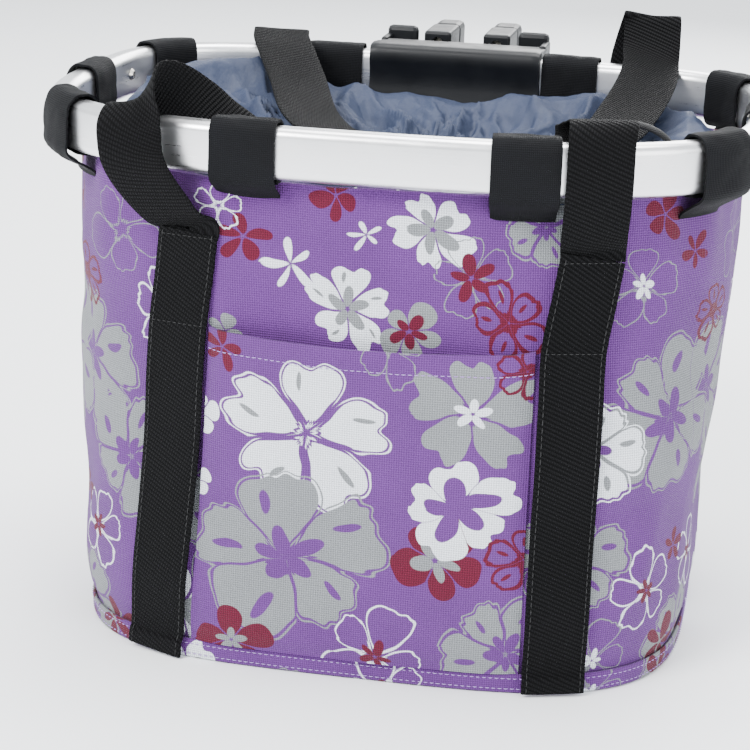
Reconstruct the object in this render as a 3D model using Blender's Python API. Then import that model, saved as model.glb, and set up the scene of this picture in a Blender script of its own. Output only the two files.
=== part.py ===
"""Handlebar basket: an oval aluminium rim, a printed fabric bag hung from it on
ten cloth loops, two webbing handles, a gathered cover with a drawstring, and a
quick-release bracket with its handlebar adapter.

Frame: origin at the centre of the bag's flat bottom, +Z up, -Y the bag's front,
+Y the handlebar side. Units: metres.
"""
import math

import bmesh
import bpy
import numpy as np
from mathutils import Matrix, Vector

MM = 0.001
GAP = 0.3 * MM                      # between pieces that touch

# Rim
RIM_TOP = 261 * MM
RIM_HEIGHT = 24 * MM
RIM_THICK = 12 * MM
RIM_WALL = 1.4 * MM
RIM_HALF_WIDTH = 174 * MM           # to the outer face
RIM_FRONT = 129 * MM
RIM_BACK = 122 * MM
RIM_MID = RIM_TOP - RIM_HEIGHT / 2
RIM_SPLIT = 0.8 * MM                # the tube's ends, behind the bracket

# Bag
BAG_TOP = 234.5 * MM
BAG_WALL = 1.6 * MM
BAG_BULGE = 3 * MM
FLOOR_THICK = 1.4 * MM
BOARD_THICK = 2.5 * MM
BINDING_HEIGHT = 9.5 * MM
BINDING_THICK = 1.2 * MM
LINING_THICK = 0.6 * MM
POCKET_TOP = 166 * MM
POCKET_HALF_WIDTH = 79 * MM
POCKET_LEAN = 8.5 * MM               # its left seam follows the leaning strap
POCKET_THICK = 1.0 * MM
POCKET_SLACK = 6.5 * MM             # how far its open edge stands off the bag

# Webbing
WEB_WIDTH = 30 * MM
WEB_THICK = 2.0 * MM
SEW_TOP = 209 * MM                  # the sewn stretch of each strap ends here
FOLD_Z = 265.5 * MM                 # height of the handles' folds over the rim
FRONT_FOLD_Y = -121.5 * MM
REAR_FOLD_Y = 121.5 * MM

# Bracket and adapter
BRACKET_X = 2 * MM
BRACKET_HALF = 46 * MM
RAIL_Y = 140.6 * MM                 # front face of the adapter's plate
HOOK_TOP = 269.5 * MM
BAR_Y = 180 * MM
BAR_Z = 240.5 * MM
BORE_RADIUS = 17.6 * MM             # 31.8 mm bar and a 1.5 mm liner
LINER_THICK = 1.5 * MM
CLAMP_OFFSET = 16.5 * MM
SHELL_SCREW_OFFSET = 30 * MM
CLAMP_WIDTH = 15 * MM
BOLT_RISE = 21.6 * MM
BOLT_RADIUS = 2.5 * MM

CORD_RADIUS = 1.5 * MM


# ---------------------------------------------------------------- outlines
class Outline:
    """A closed plan outline, read by its share of the way round.

    Share 0 is the +X side, 0.25 the back (+Y), 0.5 the -X side, 0.75 the front.
    """

    def __init__(self, half_width, front, back, front_power, back_power):
        angles = np.linspace(0, 2 * math.pi, 2881)
        cosine, sine = np.cos(angles), np.sin(angles)
        power = np.where(sine > 0, back_power, front_power)
        depth = np.where(sine > 0, back, front)
        self.x = half_width * np.sign(cosine) * np.abs(cosine) ** (2 / power)
        self.y = depth * np.sign(sine) * np.abs(sine) ** (2 / power)
        steps = np.hypot(np.diff(self.x), np.diff(self.y))
        self.length = steps.sum()
        self.share = np.concatenate([[0], np.cumsum(steps)]) / self.length

    def point(self, share):
        share = share % 1.0
        return np.array([np.interp(share, self.share, self.x),
                         np.interp(share, self.share, self.y)])

    def outward(self, share):
        along = self.point(share + 0.002) - self.point(share - 0.002)
        along /= np.hypot(*along)
        return np.array([along[1], -along[0]])


RIM_LINE = Outline(RIM_HALF_WIDTH - RIM_THICK / 2, RIM_FRONT - RIM_THICK / 2,
                   RIM_BACK - RIM_THICK / 2, 2.95, 4.2)
BAG_MOUTH = Outline(159 * MM, 118.5 * MM, 111.5 * MM, 2.95, 4.2)
BAG_BASE = Outline(147 * MM, 122 * MM, 108 * MM, 3.6, 3.6)


def rim_point(share, outward, height):
    """A point beside the rim's centre line: outward of it, and above its middle."""
    place = RIM_LINE.point(share) + RIM_LINE.outward(share) * outward
    return Vector((place[0], place[1], RIM_MID + height))


def wall_point(share, height, outward):
    """A point off the bag's outer face at a height."""
    rise = height / BAG_TOP
    place = BAG_BASE.point(share) * (1 - rise) + BAG_MOUTH.point(share) * rise
    facing = BAG_MOUTH.outward(share)
    bulge = BAG_BULGE * 4 * rise * (1 - rise)
    place = place + facing * (bulge + outward)
    return Vector((place[0], place[1], height))


def share_at(point_of, x, front):
    """The share at which point_of(share) has this x, on the front or the back."""
    shares = np.linspace(0.5, 1.0, 401) if front else np.linspace(0.5, 0.0, 401)
    across = [point_of(share)[0] for share in shares]
    return float(np.interp(x, across, shares))


# ---------------------------------------------------------------- materials
def material(name, colour, roughness, metallic=0.0):
    made = bpy.data.materials.get(name)
    if made:
        return made
    made = bpy.data.materials.new(name)
    made.use_nodes = True
    made.diffuse_color = (*colour, 1)
    shader = made.node_tree.nodes["Principled BSDF"]
    shader.inputs["Base Color"].default_value = (*colour, 1)
    shader.inputs["Roughness"].default_value = roughness
    shader.inputs["Metallic"].default_value = metallic
    return made


def aluminium():
    return material("aluminium", (0.78, 0.78, 0.79), 0.3, 1.0)


def steel():
    return material("steel", (0.62, 0.6, 0.57), 0.3, 1.0)


def print_cloth():
    return material("print_cloth", (0.27, 0.13, 0.42), 0.85)


def nylon():
    return material("nylon", (0.23, 0.26, 0.34), 0.6)


def webbing():
    return material("webbing", (0.015, 0.015, 0.017), 0.9)


def loop_cloth():
    return material("loop_cloth", (0.03, 0.031, 0.034), 0.9)


def plastic():
    return material("plastic", (0.022, 0.022, 0.025), 0.45)


def rubber():
    return material("rubber", (0.02, 0.02, 0.02), 0.85)


def board():
    return material("board", (0.05, 0.05, 0.055), 0.8)


# ---------------------------------------------------------------- mesh tools
def add_object(name, mesh, finish, smooth=True):
    mesh.materials.append(finish)
    made = bpy.data.objects.new(name, mesh)
    bpy.context.scene.collection.objects.link(made)
    if smooth:
        mesh.shade_smooth()
        mesh.set_sharp_from_angle(angle=math.radians(35))
    return made


def add_bmesh(name, bm, finish, smooth=True):
    bmesh.ops.recalc_face_normals(bm, faces=bm.faces)
    mesh = bpy.data.meshes.new(name)
    bm.to_mesh(mesh)
    bm.free()
    return add_object(name, mesh, finish, smooth)


def rings_into(bm, rings, closed):
    """Skin a row of equal rings of points; an open row gets end caps."""
    rows = [[bm.verts.new(point) for point in ring] for ring in rings]
    count = len(rows[0])
    last = len(rows) if closed else len(rows) - 1
    for i in range(last):
        here, there = rows[i], rows[(i + 1) % len(rows)]
        for j in range(count):
            k = (j + 1) % count
            bm.faces.new((here[j], here[k], there[k], there[j]))
    if not closed:
        bm.faces.new(rows[0])
        bm.faces.new(rows[-1])


def skin(name, rings, finish, closed=False):
    bm = bmesh.new()
    rings_into(bm, rings, closed)
    return add_bmesh(name, bm, finish)


def around_rim(section, first, last, steps):
    """Rings of a (outward, height) section carried along the rim."""
    shares = [first + (last - first) * i / steps for i in range(steps + 1)]
    return [[rim_point(share, out, up) for out, up in section] for share in shares]


def rounded_section(thick, height, corner, per_corner=3):
    """A rounded rectangle in (outward, height)."""
    points = []
    for turn, (side, end) in enumerate(((1, 1), (-1, 1), (-1, -1), (1, -1))):
        for i in range(per_corner):
            angle = math.pi / 2 * (turn + i / (per_corner - 1))
            points.append((side * (thick / 2 - corner) + corner * math.cos(angle),
                           end * (height / 2 - corner) + corner * math.sin(angle)))
    return points


def loop_wall(outer, inner):
    """Rings up the outer face and down the inner one, to be skinned closed."""
    return outer + list(reversed(inner))


def wall_ring(height, outward, count):
    return [wall_point(i / count, height, outward) for i in range(count)]


def smooth_route(points, steps):
    """Catmull-Rom points through a list of points or of longer tuples."""
    rows = [np.array(point, dtype=float) for point in points]
    rows = [2 * rows[0] - rows[1]] + rows + [2 * rows[-1] - rows[-2]]
    route = []
    for i in range(1, len(rows) - 2):
        before, start, end, after = rows[i - 1:i + 3]
        for k in range(steps):
            t = k / steps
            route.append(0.5 * (2 * start + (end - before) * t
                                + (2 * before - 5 * start + 4 * end - after) * t * t
                                + (3 * start - before - 3 * end + after) * t ** 3))
    route.append(rows[-2])
    return route


def band_ring(centre, across, facing, width=WEB_WIDTH, thick=WEB_THICK):
    """A flat band's cross-section: three points on its back, three on its face."""
    across = across.normalized() * width / 2
    facing = facing.normalized() * thick / 2
    back = [centre - facing + across * k for k in (-1, 0, 1)]
    face = [centre + facing + across * k for k in (1, 0, -1)]
    return back + face


def block(bm, low, high, bevel=0.0):
    """A box from its low to its high corner, in millimetres, with round edges."""
    low, high = Vector(low) * MM, Vector(high) * MM
    size = high - low
    place = Matrix.Translation((low + high) / 2) @ Matrix.Diagonal((*size, 1))
    made = bmesh.ops.create_cube(bm, size=1.0, matrix=place)
    if bevel:
        edges = list({edge for vert in made["verts"] for edge in vert.link_edges})
        bmesh.ops.bevel(bm, geom=edges, offset=bevel * MM, segments=2,
                        affect="EDGES", profile=0.5)


AXIS_TURN = {"X": Matrix.Rotation(math.pi / 2, 4, "Y"),
             "Y": Matrix.Rotation(math.pi / 2, 4, "X"),
             "Z": Matrix.Identity(4)}


def rod(bm, centre, axis, length, radius, sides=20):
    """A round bar through a centre, in metres."""
    place = Matrix.Translation(centre) @ AXIS_TURN[axis]
    bmesh.ops.create_cone(bm, cap_ends=True, segments=sides, radius1=radius,
                          radius2=radius, depth=length, matrix=place)


def boolean(target, tool, operation):
    """Apply one exact boolean and drop the tool."""
    modifier = target.modifiers.new(operation.lower(), "BOOLEAN")
    modifier.operation = operation
    modifier.object = tool
    view = bpy.context.evaluated_depsgraph_get()
    mesh = bpy.data.meshes.new_from_object(target.evaluated_get(view))
    target.modifiers.clear()
    target.data = mesh
    bpy.data.objects.remove(tool)


def joined(name, pieces, finish):
    """The union of several blocks, each (low, high, bevel) in millimetres."""
    whole = None
    for number, piece in enumerate(pieces):
        bm = bmesh.new()
        block(bm, *piece)
        made = add_bmesh(name if whole is None else f"{name}_{number}", bm, finish)
        if whole is None:
            whole = made
        else:
            boolean(whole, made, "UNION")
    return whole


def cut_blocks(target, pieces):
    for low, high in pieces:
        bm = bmesh.new()
        block(bm, low, high)
        boolean(target, add_bmesh("cutter", bm, plastic(), False), "DIFFERENCE")


def cut_rods(target, rods):
    for centre, axis, length, radius, sides in rods:
        bm = bmesh.new()
        rod(bm, centre, axis, length, radius, sides)
        boolean(target, add_bmesh("cutter", bm, plastic(), False), "DIFFERENCE")


def resmooth(target):
    target.data.shade_smooth()
    target.data.set_sharp_from_angle(angle=math.radians(35))


# ---------------------------------------------------------------- rim
def make_rim():
    steps = 60
    half_split = RIM_SPLIT / 2 / RIM_LINE.length
    ends = (0.25 + half_split, 1.25 - half_split)
    outer = around_rim(rounded_section(RIM_THICK, RIM_HEIGHT, 4.5 * MM), *ends, steps)
    inner = around_rim(rounded_section(RIM_THICK - 2 * RIM_WALL,
                                       RIM_HEIGHT - 2 * RIM_WALL, 3.1 * MM), *ends, steps)
    skin("rim_tube", loop_wall(outer, inner), aluminium(), closed=True)

    inset = 2 * (RIM_WALL + GAP)
    section = rounded_section(RIM_THICK - inset, RIM_HEIGHT - inset, 2.7 * MM)
    reach = 38 * MM / RIM_LINE.length
    skin("rim_sleeve", around_rim(section, 0.25 - reach, 0.25 + reach, 8), aluminium())

    for label, share in (("left", 0.455), ("right", 0.045)):
        bm = bmesh.new()
        base = rim_point(share, -RIM_THICK / 2 - GAP - 0.7 * MM, 1 * MM)
        facing = RIM_LINE.outward(share)
        turn = Vector((facing[0], facing[1], 0)).to_track_quat("Z", "Y").to_matrix()
        bmesh.ops.create_cone(bm, cap_ends=True, segments=16, radius1=2.0 * MM,
                              radius2=3.2 * MM, depth=1.4 * MM,
                              matrix=Matrix.Translation(base) @ turn.to_4x4())
        add_bmesh(f"rim_rivet_{label}", bm, steel())


# Where each cloth loop sits: name, x of its middle, on the front or the back.
LOOP_PLACES = (("rim_loop_front_left", -54.5, True), ("rim_loop_front_right", 70.5, True),
               ("rim_loop_front_corner_left", -150, True),
               ("rim_loop_front_corner_right", 151, True),
               ("rim_loop_side_left", -168, False), ("rim_loop_side_right", 168, False),
               ("rim_loop_back_corner_left", -152.5, False),
               ("rim_loop_back_corner_right", 152.5, False),
               ("rim_loop_back_left", -64, False), ("rim_loop_back_right", 64, False))
LOOP_THICK = 1.3 * MM
LOOP_CLEAR = 1.0 * MM               # a little slack round the tube


def loop_section():
    """A cloth strip round the rim: up its outer face, over, down and under."""
    half, side = RIM_HEIGHT / 2 + LOOP_CLEAR, RIM_THICK / 2 + LOOP_CLEAR
    turns = ((-1.6, -22.5), (-1.0, -18.5), (side / MM, -10.5), (side / MM, 8.5),
             (side / MM - 2.2, half / MM), (2.2 - side / MM, half / MM),
             (-side / MM, 8.5), (-side / MM, -9.0), (2.4 - side / MM, -half / MM),
             (1.4, -half / MM))
    route = [np.array(turn) * MM for turn in turns]
    far = []
    for i, point in enumerate(route):
        before, after = route[max(i - 1, 0)], route[min(i + 1, len(route) - 1)]
        along = (after - before) / np.hypot(*(after - before))
        far.append(point + np.array([along[1], -along[0]]) * LOOP_THICK)
    return route + far[::-1]


def make_loops():
    section = loop_section()
    reach = WEB_WIDTH / 2 / RIM_LINE.length
    for name, x, front in LOOP_PLACES:
        share = share_at(RIM_LINE.point, x * MM, front)
        skin(name, around_rim(section, share - reach, share + reach, 4), loop_cloth())


# ---------------------------------------------------------------- bag
WALL_COUNT = 48


def make_bag():
    low = FLOOR_THICK + GAP
    heights = [low + (BAG_TOP - low) * i / 5 for i in range(6)]
    outer = [wall_ring(height, 0, WALL_COUNT) for height in heights]
    inner = [wall_ring(height, -BAG_WALL, WALL_COUNT) for height in heights]
    skin("bag_wall", loop_wall(outer, inner), print_cloth(), closed=True)

    floor = [wall_ring(height, 0, WALL_COUNT) for height in (0, FLOOR_THICK)]
    skin("bag_floor", floor, print_cloth())

    inset = BAG_WALL + LINING_THICK + 6 * GAP
    base = FLOOR_THICK + GAP
    plate = [wall_ring(height, -inset, WALL_COUNT) for height in (base, base + BOARD_THICK)]
    skin("base_board", plate, board())

    lining_out = BAG_WALL + 3 * GAP
    heights = [base + (225 * MM - base) * i / 4 for i in range(5)]
    outer = [wall_ring(height, -lining_out, WALL_COUNT) for height in heights]
    inner = [wall_ring(height, -lining_out - LINING_THICK, WALL_COUNT) for height in heights]
    skin("bag_lining", loop_wall(outer, inner), nylon(), closed=True)

    heights = (0, BINDING_HEIGHT / 2, BINDING_HEIGHT)
    outer = [wall_ring(height, BINDING_THICK + GAP, WALL_COUNT) for height in heights]
    inner = [wall_ring(height, GAP, WALL_COUNT) for height in heights]
    skin("bottom_binding", loop_wall(outer, inner), print_cloth(), closed=True)

    heights = (226 * MM, 230 * MM, BAG_TOP - 0.5 * MM)
    inner_face = -BAG_WALL - GAP
    outer = [wall_ring(height, inner_face, WALL_COUNT) for height in heights]
    inner = [wall_ring(height, inner_face - BINDING_THICK, WALL_COUNT) for height in heights]
    skin("mouth_binding", loop_wall(outer, inner), print_cloth(), closed=True)


def pocket_slack(across, height):
    """How far the pocket's cloth stands off the bag, most at its open top.

    across runs from -1 at its left seam to 1 at its right one.
    """
    across = max(0.0, 1 - across ** 2) ** 0.7
    low = BINDING_HEIGHT + 2 * MM
    up = max(0.0, (height - low) / (POCKET_TOP - low))
    return POCKET_SLACK * across * up ** 1.1


def make_pocket():
    rows = []
    for i in range(8):
        low = BINDING_HEIGHT + 1 * MM
        height = low + (POCKET_TOP - low) * i / 7
        back, face = [], []
        for k in range(15):
            across = k / 7 - 1
            x = POCKET_HALF_WIDTH * across
            x += max(0.0, -across) * POCKET_LEAN * height / POCKET_TOP
            share = share_at(lambda s: wall_point(s, height, 0), x, True)
            off = 2 * GAP + pocket_slack(across, height)
            back.append(wall_point(share, height, off))
            face.append(wall_point(share, height, off + POCKET_THICK))
        rows.append(back + face[::-1])
    skin("front_pocket", rows, print_cloth())


# Each strap's middle at the bottom, at the pocket's top, at its last stitch and
# at the rim.
STRAPS = {"strap_front_left": ((-95.5, -85.5, -81.5, -103), True),
          "strap_front_right": ((94.3, 95, 101, 103), True),
          "strap_rear_left": ((-96, -97, -97, -97.5), False),
          "strap_rear_right": ((96, 97, 97, 97.5), False)}


def wall_band(x, height, front):
    """A strap's cross-section where it is sewn flat to the bag."""
    back, face = [], []
    off = BINDING_THICK + 2 * GAP if height < BINDING_HEIGHT + 1 * MM else GAP
    off += 0.9 * MM
    for k in (-1, 0, 1):
        share = share_at(lambda s: wall_point(s, height, 0), x + k * WEB_WIDTH / 2, front)
        back.append(wall_point(share, height, off))
        face.append(wall_point(share, height, off + WEB_THICK))
    return back + face[::-1]


def make_straps():
    for name, (places, front) in STRAPS.items():
        heights = (1 * MM, 9 * MM, 60 * MM, 110 * MM, POCKET_TOP, SEW_TOP - 12 * MM, SEW_TOP)
        known = (0, POCKET_TOP, SEW_TOP)
        rings = []
        for height in heights:
            x = float(np.interp(height, known, places[:3])) * MM
            rings.append(wall_band(x, height, front))
        top_x = places[3] * MM
        for rise, stand in ((-15 * MM, 1.6 * MM), (-6 * MM, 2.4 * MM),
                            (8 * MM, 2.4 * MM), (13.5 * MM, 2.0 * MM)):
            share = share_at(RIM_LINE.point, top_x, front)
            centre = rim_point(share, RIM_THICK / 2 + stand, rise)
            facing = Vector((*RIM_LINE.outward(share), 0))
            across = Vector((abs(facing.y), -facing.x * math.copysign(1, facing.y), 0))
            rings.append(band_ring(centre, across, facing))
        skin(name, rings, webbing())


# Handle routes in millimetres: the middle of the webbing, then the direction
# across it. Both start and end at their folds over the rim.
FRONT_HANDLE = ((-103, -119.6, 266.2, 1, 0.25, 0), (-104, -116, 275, 1, 0.3, 0.1),
                (-94, -108, 279, 0.8, 0.6, -0.2), (-76, -100, 271, 0.5, 0.8, -0.3),
                (-58, -90, 254, 0.4, 0.9, 0.0), (-36, -79, 240, 0.3, 1, 0.1),
                (0, -74, 234.5, 0, 1, 0), (44, -76, 235.5, -0.2, 1, 0),
                (72, -80, 241, -0.7, 0.8, 0), (88, -86, 250, -1, 0.4, 0),
                (97, -94, 260, -1, 0.2, 0), (101, -103, 267, -1, 0, 0),
                (102.5, -113, 270, -1, 0.1, 0), (103, -119.6, 266.2, -1, 0.25, 0))
REAR_HANDLE = ((-97, 119.6, 266.2, 1, -0.1, 0), (-95, 110, 269, 1, 0, 0),
               (-84, 84, 262, 1, 0.2, 0), (-72, 55, 252, 1, 0.4, 0),
               (-55, 12, 241, 0.8, 0.7, 0), (-32, -18, 235, 0.4, 1, 0),
               (0, -30, 233, 0, 1, 0), (44, -32, 234, -0.2, 1, 0),
               (78, -20, 238, -0.7, 0.8, 0), (98, 6, 243, -1, 0.3, 0),
               (104, 44, 250, -1, 0, 0), (105, 84, 259, -1, 0, 0),
               (106, 108, 267, -1, 0, 0), (104, 119, 279, -1, 0, -0.1),
               (100, 124, 281, -1, 0.1, -0.1), (97, 121.5, 267.2, -1, 0, 0))


def make_handles():
    for name, route, fold_y in (("handle_front", FRONT_HANDLE, FRONT_FOLD_Y),
                                ("handle_rear", REAR_HANDLE, REAR_FOLD_Y)):
        rows = smooth_route(route, 3)
        rings = []
        for i, row in enumerate(rows):
            before, after = rows[max(i - 1, 0)], rows[min(i + 1, len(rows) - 1)]
            along = Vector(after[:3] - before[:3]).normalized()
            across = Vector(row[3:])
            facing = along.cross(across)
            across = facing.cross(along)
            rings.append(band_ring(Vector(row[:3]) * MM, across, facing))
        made = skin(name, rings, webbing())
        hinge = Vector((0, fold_y, FOLD_Z))
        made.data.transform(Matrix.Translation(-hinge))
        made.location = hinge


# ---------------------------------------------------------------- cover
COVER_THICK = 1.2 * MM
# How far in from the bag (0) to the mouth (1), and the height there.
COVER_PROFILE = ((0.0, 231.5), (0.08, 232.4), (0.2, 232.0), (0.42, 229.0),
                 (0.7, 224.0), (1.0, 220.0))
MOUTH_SCALE = 0.40
HEM_RADIUS = 2.4 * MM


def cover_point(share, inward, height):
    """A point of the cover between the bag's mouth and its own."""
    place = BAG_MOUTH.point(share) - BAG_MOUTH.outward(share) * 4.2 * MM
    place = place * (1 - inward * (1 - MOUTH_SCALE))
    return Vector((place[0], place[1], height * MM))


def make_cover():
    count = 40
    top = [[cover_point(i / count, inward, height) for i in range(count)]
           for inward, height in COVER_PROFILE]
    under = [[point - Vector((0, 0, COVER_THICK)) for point in ring] for ring in top]
    skin("drawstring_cover", loop_wall(top, under), nylon(), closed=True)

    rings = []
    for i in range(count):
        centre = cover_point(i / count, 1.0, 219.4)
        inward = Vector((-centre.x, -centre.y, 0)).normalized()
        centre += inward * 3.0 * MM
        rings.append([centre + inward * HEM_RADIUS * math.cos(math.pi * k / 3)
                      + Vector((0, 0, HEM_RADIUS * math.sin(math.pi * k / 3)))
                      for k in range(6)])
    skin("cover_hem", rings, nylon(), closed=True)


CORD_ROUTE = ((81.4, -52, 231.6), (82.1, -55, 237.4), (84.8, -58, 245.5), (90.4, -61, 253.4),
              (99.2, -64, 259.6), (108.4, -66, 262.2), (117.4, -67.3, 261.6),
              (124.6, -67.6, 258.8), (128.9, -67, 254.8), (130.9, -66, 250.6),
              (131.1, -64.4, 247.7), (130.9, -62.3, 246.9))
LOCK_START = (130.9, -61.5, 246.9)
LOCK_LENGTH = 19


def make_drawstring():
    curve = bpy.data.curves.new("drawstring", "CURVE")
    curve.dimensions = "3D"
    curve.bevel_depth = CORD_RADIUS
    curve.bevel_resolution = 2
    curve.resolution_u = 1
    curve.render_resolution_u = 0
    curve.use_fill_caps = True
    route = smooth_route(CORD_ROUTE, 2)
    spline = curve.splines.new("POLY")
    spline.points.add(len(route) - 1)
    for spot, place in zip(spline.points, route):
        spot.co = (*(place * MM), 1)
    curve.materials.append(webbing())
    bpy.context.scene.collection.objects.link(bpy.data.objects.new("drawstring", curve))

    frame = Matrix.Translation(Vector(LOCK_START) * MM)
    frame = frame @ Matrix.Rotation(-math.pi / 2, 4, "Z")
    frame = frame @ Matrix.Rotation(-math.pi / 2, 4, "Y")
    spans = {"cord_lock_body": ((0, 12.5), (6.2, 6.2), 4.9),
             "cord_lock_button": ((8.5, LOCK_LENGTH), (4.4, 4.4), None)}
    for name, ((low, high), radii, hollow) in spans.items():
        bm = bmesh.new()
        ends = [(low, radii[0] - 0.8), (low + 0.9, radii[0]), (high - 0.9, radii[1]),
                (high, radii[1] - 0.8)]
        if hollow:
            ends[-1] = (high, radii[1] - 0.5)
            ends += [(high, hollow), (low + 1.6, hollow)]
        rings = [[Vector((radius * math.cos(math.pi * k / 8),
                          radius * math.sin(math.pi * k / 8), along)) * MM
                  for k in range(16)] for along, radius in ends]
        rings_into(bm, rings, False)
        made = add_bmesh(name, bm, plastic())
        made.data.transform(frame)
    spring = helix_rings(radius=2.8, wire=0.35, low=2.3, high=8.0, turns=4)
    made = skin("cord_lock_spring", spring, steel())
    made.data.transform(frame)


def helix_rings(radius, wire, low, high, turns, per_turn=8, sides=5):
    """A round wire wound up +Z, in metres from millimetre sizes."""
    rings = []
    rise = (high - low - 2 * wire) / (turns * per_turn)
    for i in range(turns * per_turn + 1):
        angle = 2 * math.pi * i / per_turn
        out = Vector((math.cos(angle), math.sin(angle), 0))
        centre = out * radius + Vector((0, 0, low + wire + rise * i))
        rings.append([(centre + out * wire * math.cos(2 * math.pi * k / sides)
                       + Vector((0, 0, wire * math.sin(2 * math.pi * k / sides)))) * MM
                      for k in range(sides)])
    return rings


# ---------------------------------------------------------------- bracket
def turned_along_y(x, z, stations, sides=12):
    """Rings round an axis along Y, from (y, radius) stations in millimetres."""
    return [[Vector((x + radius * MM * math.cos(2 * math.pi * k / sides), y * MM,
                     z + radius * MM * math.sin(2 * math.pi * k / sides)))
             for k in range(sides)] for y, radius in stations]


def make_bracket():
    reach = BRACKET_HALF / RIM_LINE.length
    middle = share_at(RIM_LINE.point, BRACKET_X, False)
    side, half = RIM_THICK / 2 + GAP, RIM_HEIGHT / 2 + GAP
    profile = ((-12.0, -12.8), (-11.4, -13.4), (-side / MM - 0.4, -13.4), (-side / MM, -12),
               (-side / MM, half / MM), (6.0, half / MM), (6.0, half / MM + 2.0),
               (3.0, half / MM + 4.4), (-7.5, half / MM + 4.4), (-11.2, half / MM + 2.8),
               (-12.6, half / MM - 1.0), (-12.2, 4), (-10.6, -2), (-11.4, -9))
    section = [(out * MM, up * MM) for out, up in profile]
    skin("bracket_front_shell", around_rim(section, middle + reach, middle - reach, 6),
         plastic())

    left, right = BRACKET_X / MM - 46, BRACKET_X / MM + 46
    rear = joined("bracket_rear_shell", (
        ((left, 123.4, 202), (right, 140, 264.0), 1.5),
        ((left + 10, 117.4, 202), (right - 10, 130, 234.0), 1.2),
        ((left + 0.4, 134, 205), (left + 4.2, 156.2, 265.2), 1.2),
        ((right - 4.2, 134, 205), (right - 0.4, 156.2, 265.2), 1.2),
        ((left + 0.8, 150.4, 207), (left + 18, 157, HOOK_TOP / MM), 2.6),
        ((right - 18, 150.4, 207), (right - 0.8, 157, HOOK_TOP / MM), 2.6)), plastic())
    middle_x = BRACKET_X / MM
    cut_blocks(rear, (((middle_x - 16, 121.5, 195), (middle_x + 16, 141, 228)),))

    for side, label in ((-1, "left"), (1, "right")):
        x = BRACKET_X + side * SHELL_SCREW_OFFSET
        through = (Vector((x, 126 * MM, RIM_MID)), "Y", 29.0 * MM, 2.0 * MM + GAP, 12)
        for name in ("rim_tube", "rim_sleeve", "bracket_front_shell"):
            cut_rods(bpy.data.objects[name], [through])
        cut_rods(rear, [through, (Vector((x, 139 * MM, RIM_MID)), "Y", 6 * MM, 4.0 * MM, 16)])
        stations = ((139.8, 1.4), (137.8, 1.4), (137.8, 2.4), (139.8, 3.7), (136.3, 3.7),
                    (136.3, 2.0), (112.3, 2.0))
        skin(f"bracket_screw_{label}", turned_along_y(x, RIM_MID, stations), steel())
    resmooth(rear)

    latch = joined("latch", (((middle_x - 14, 130, 215.6), (middle_x + 14, 139.6, 226.4), 0.6),
                             ((middle_x - 7, 138, 216.4), (middle_x + 7, 140.3, 225.6), 0.4)),
                   plastic())
    resmooth(latch)
    button = joined("release_button", (
        ((middle_x - 14, 123, 193), (middle_x + 14, 139, 211), 1.6),), plastic())
    resmooth(button)
    spring = skin("release_spring",
                  helix_rings(radius=1.5, wire=0.35, low=211.4, high=227.6, turns=4),
                  steel())
    spring.data.transform(Matrix.Translation(Vector((middle_x, 124.4, 0)) * MM))


def bolt_places():
    """The clamp bolts: a label, then x and z of each."""
    for side, across in ((-1, "left"), (1, "right")):
        for rise, level in ((1, "upper"), (-1, "lower")):
            place = (BRACKET_X + side * CLAMP_OFFSET, BAR_Z + rise * BOLT_RISE)
            yield f"{across}_{level}", *place


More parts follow.
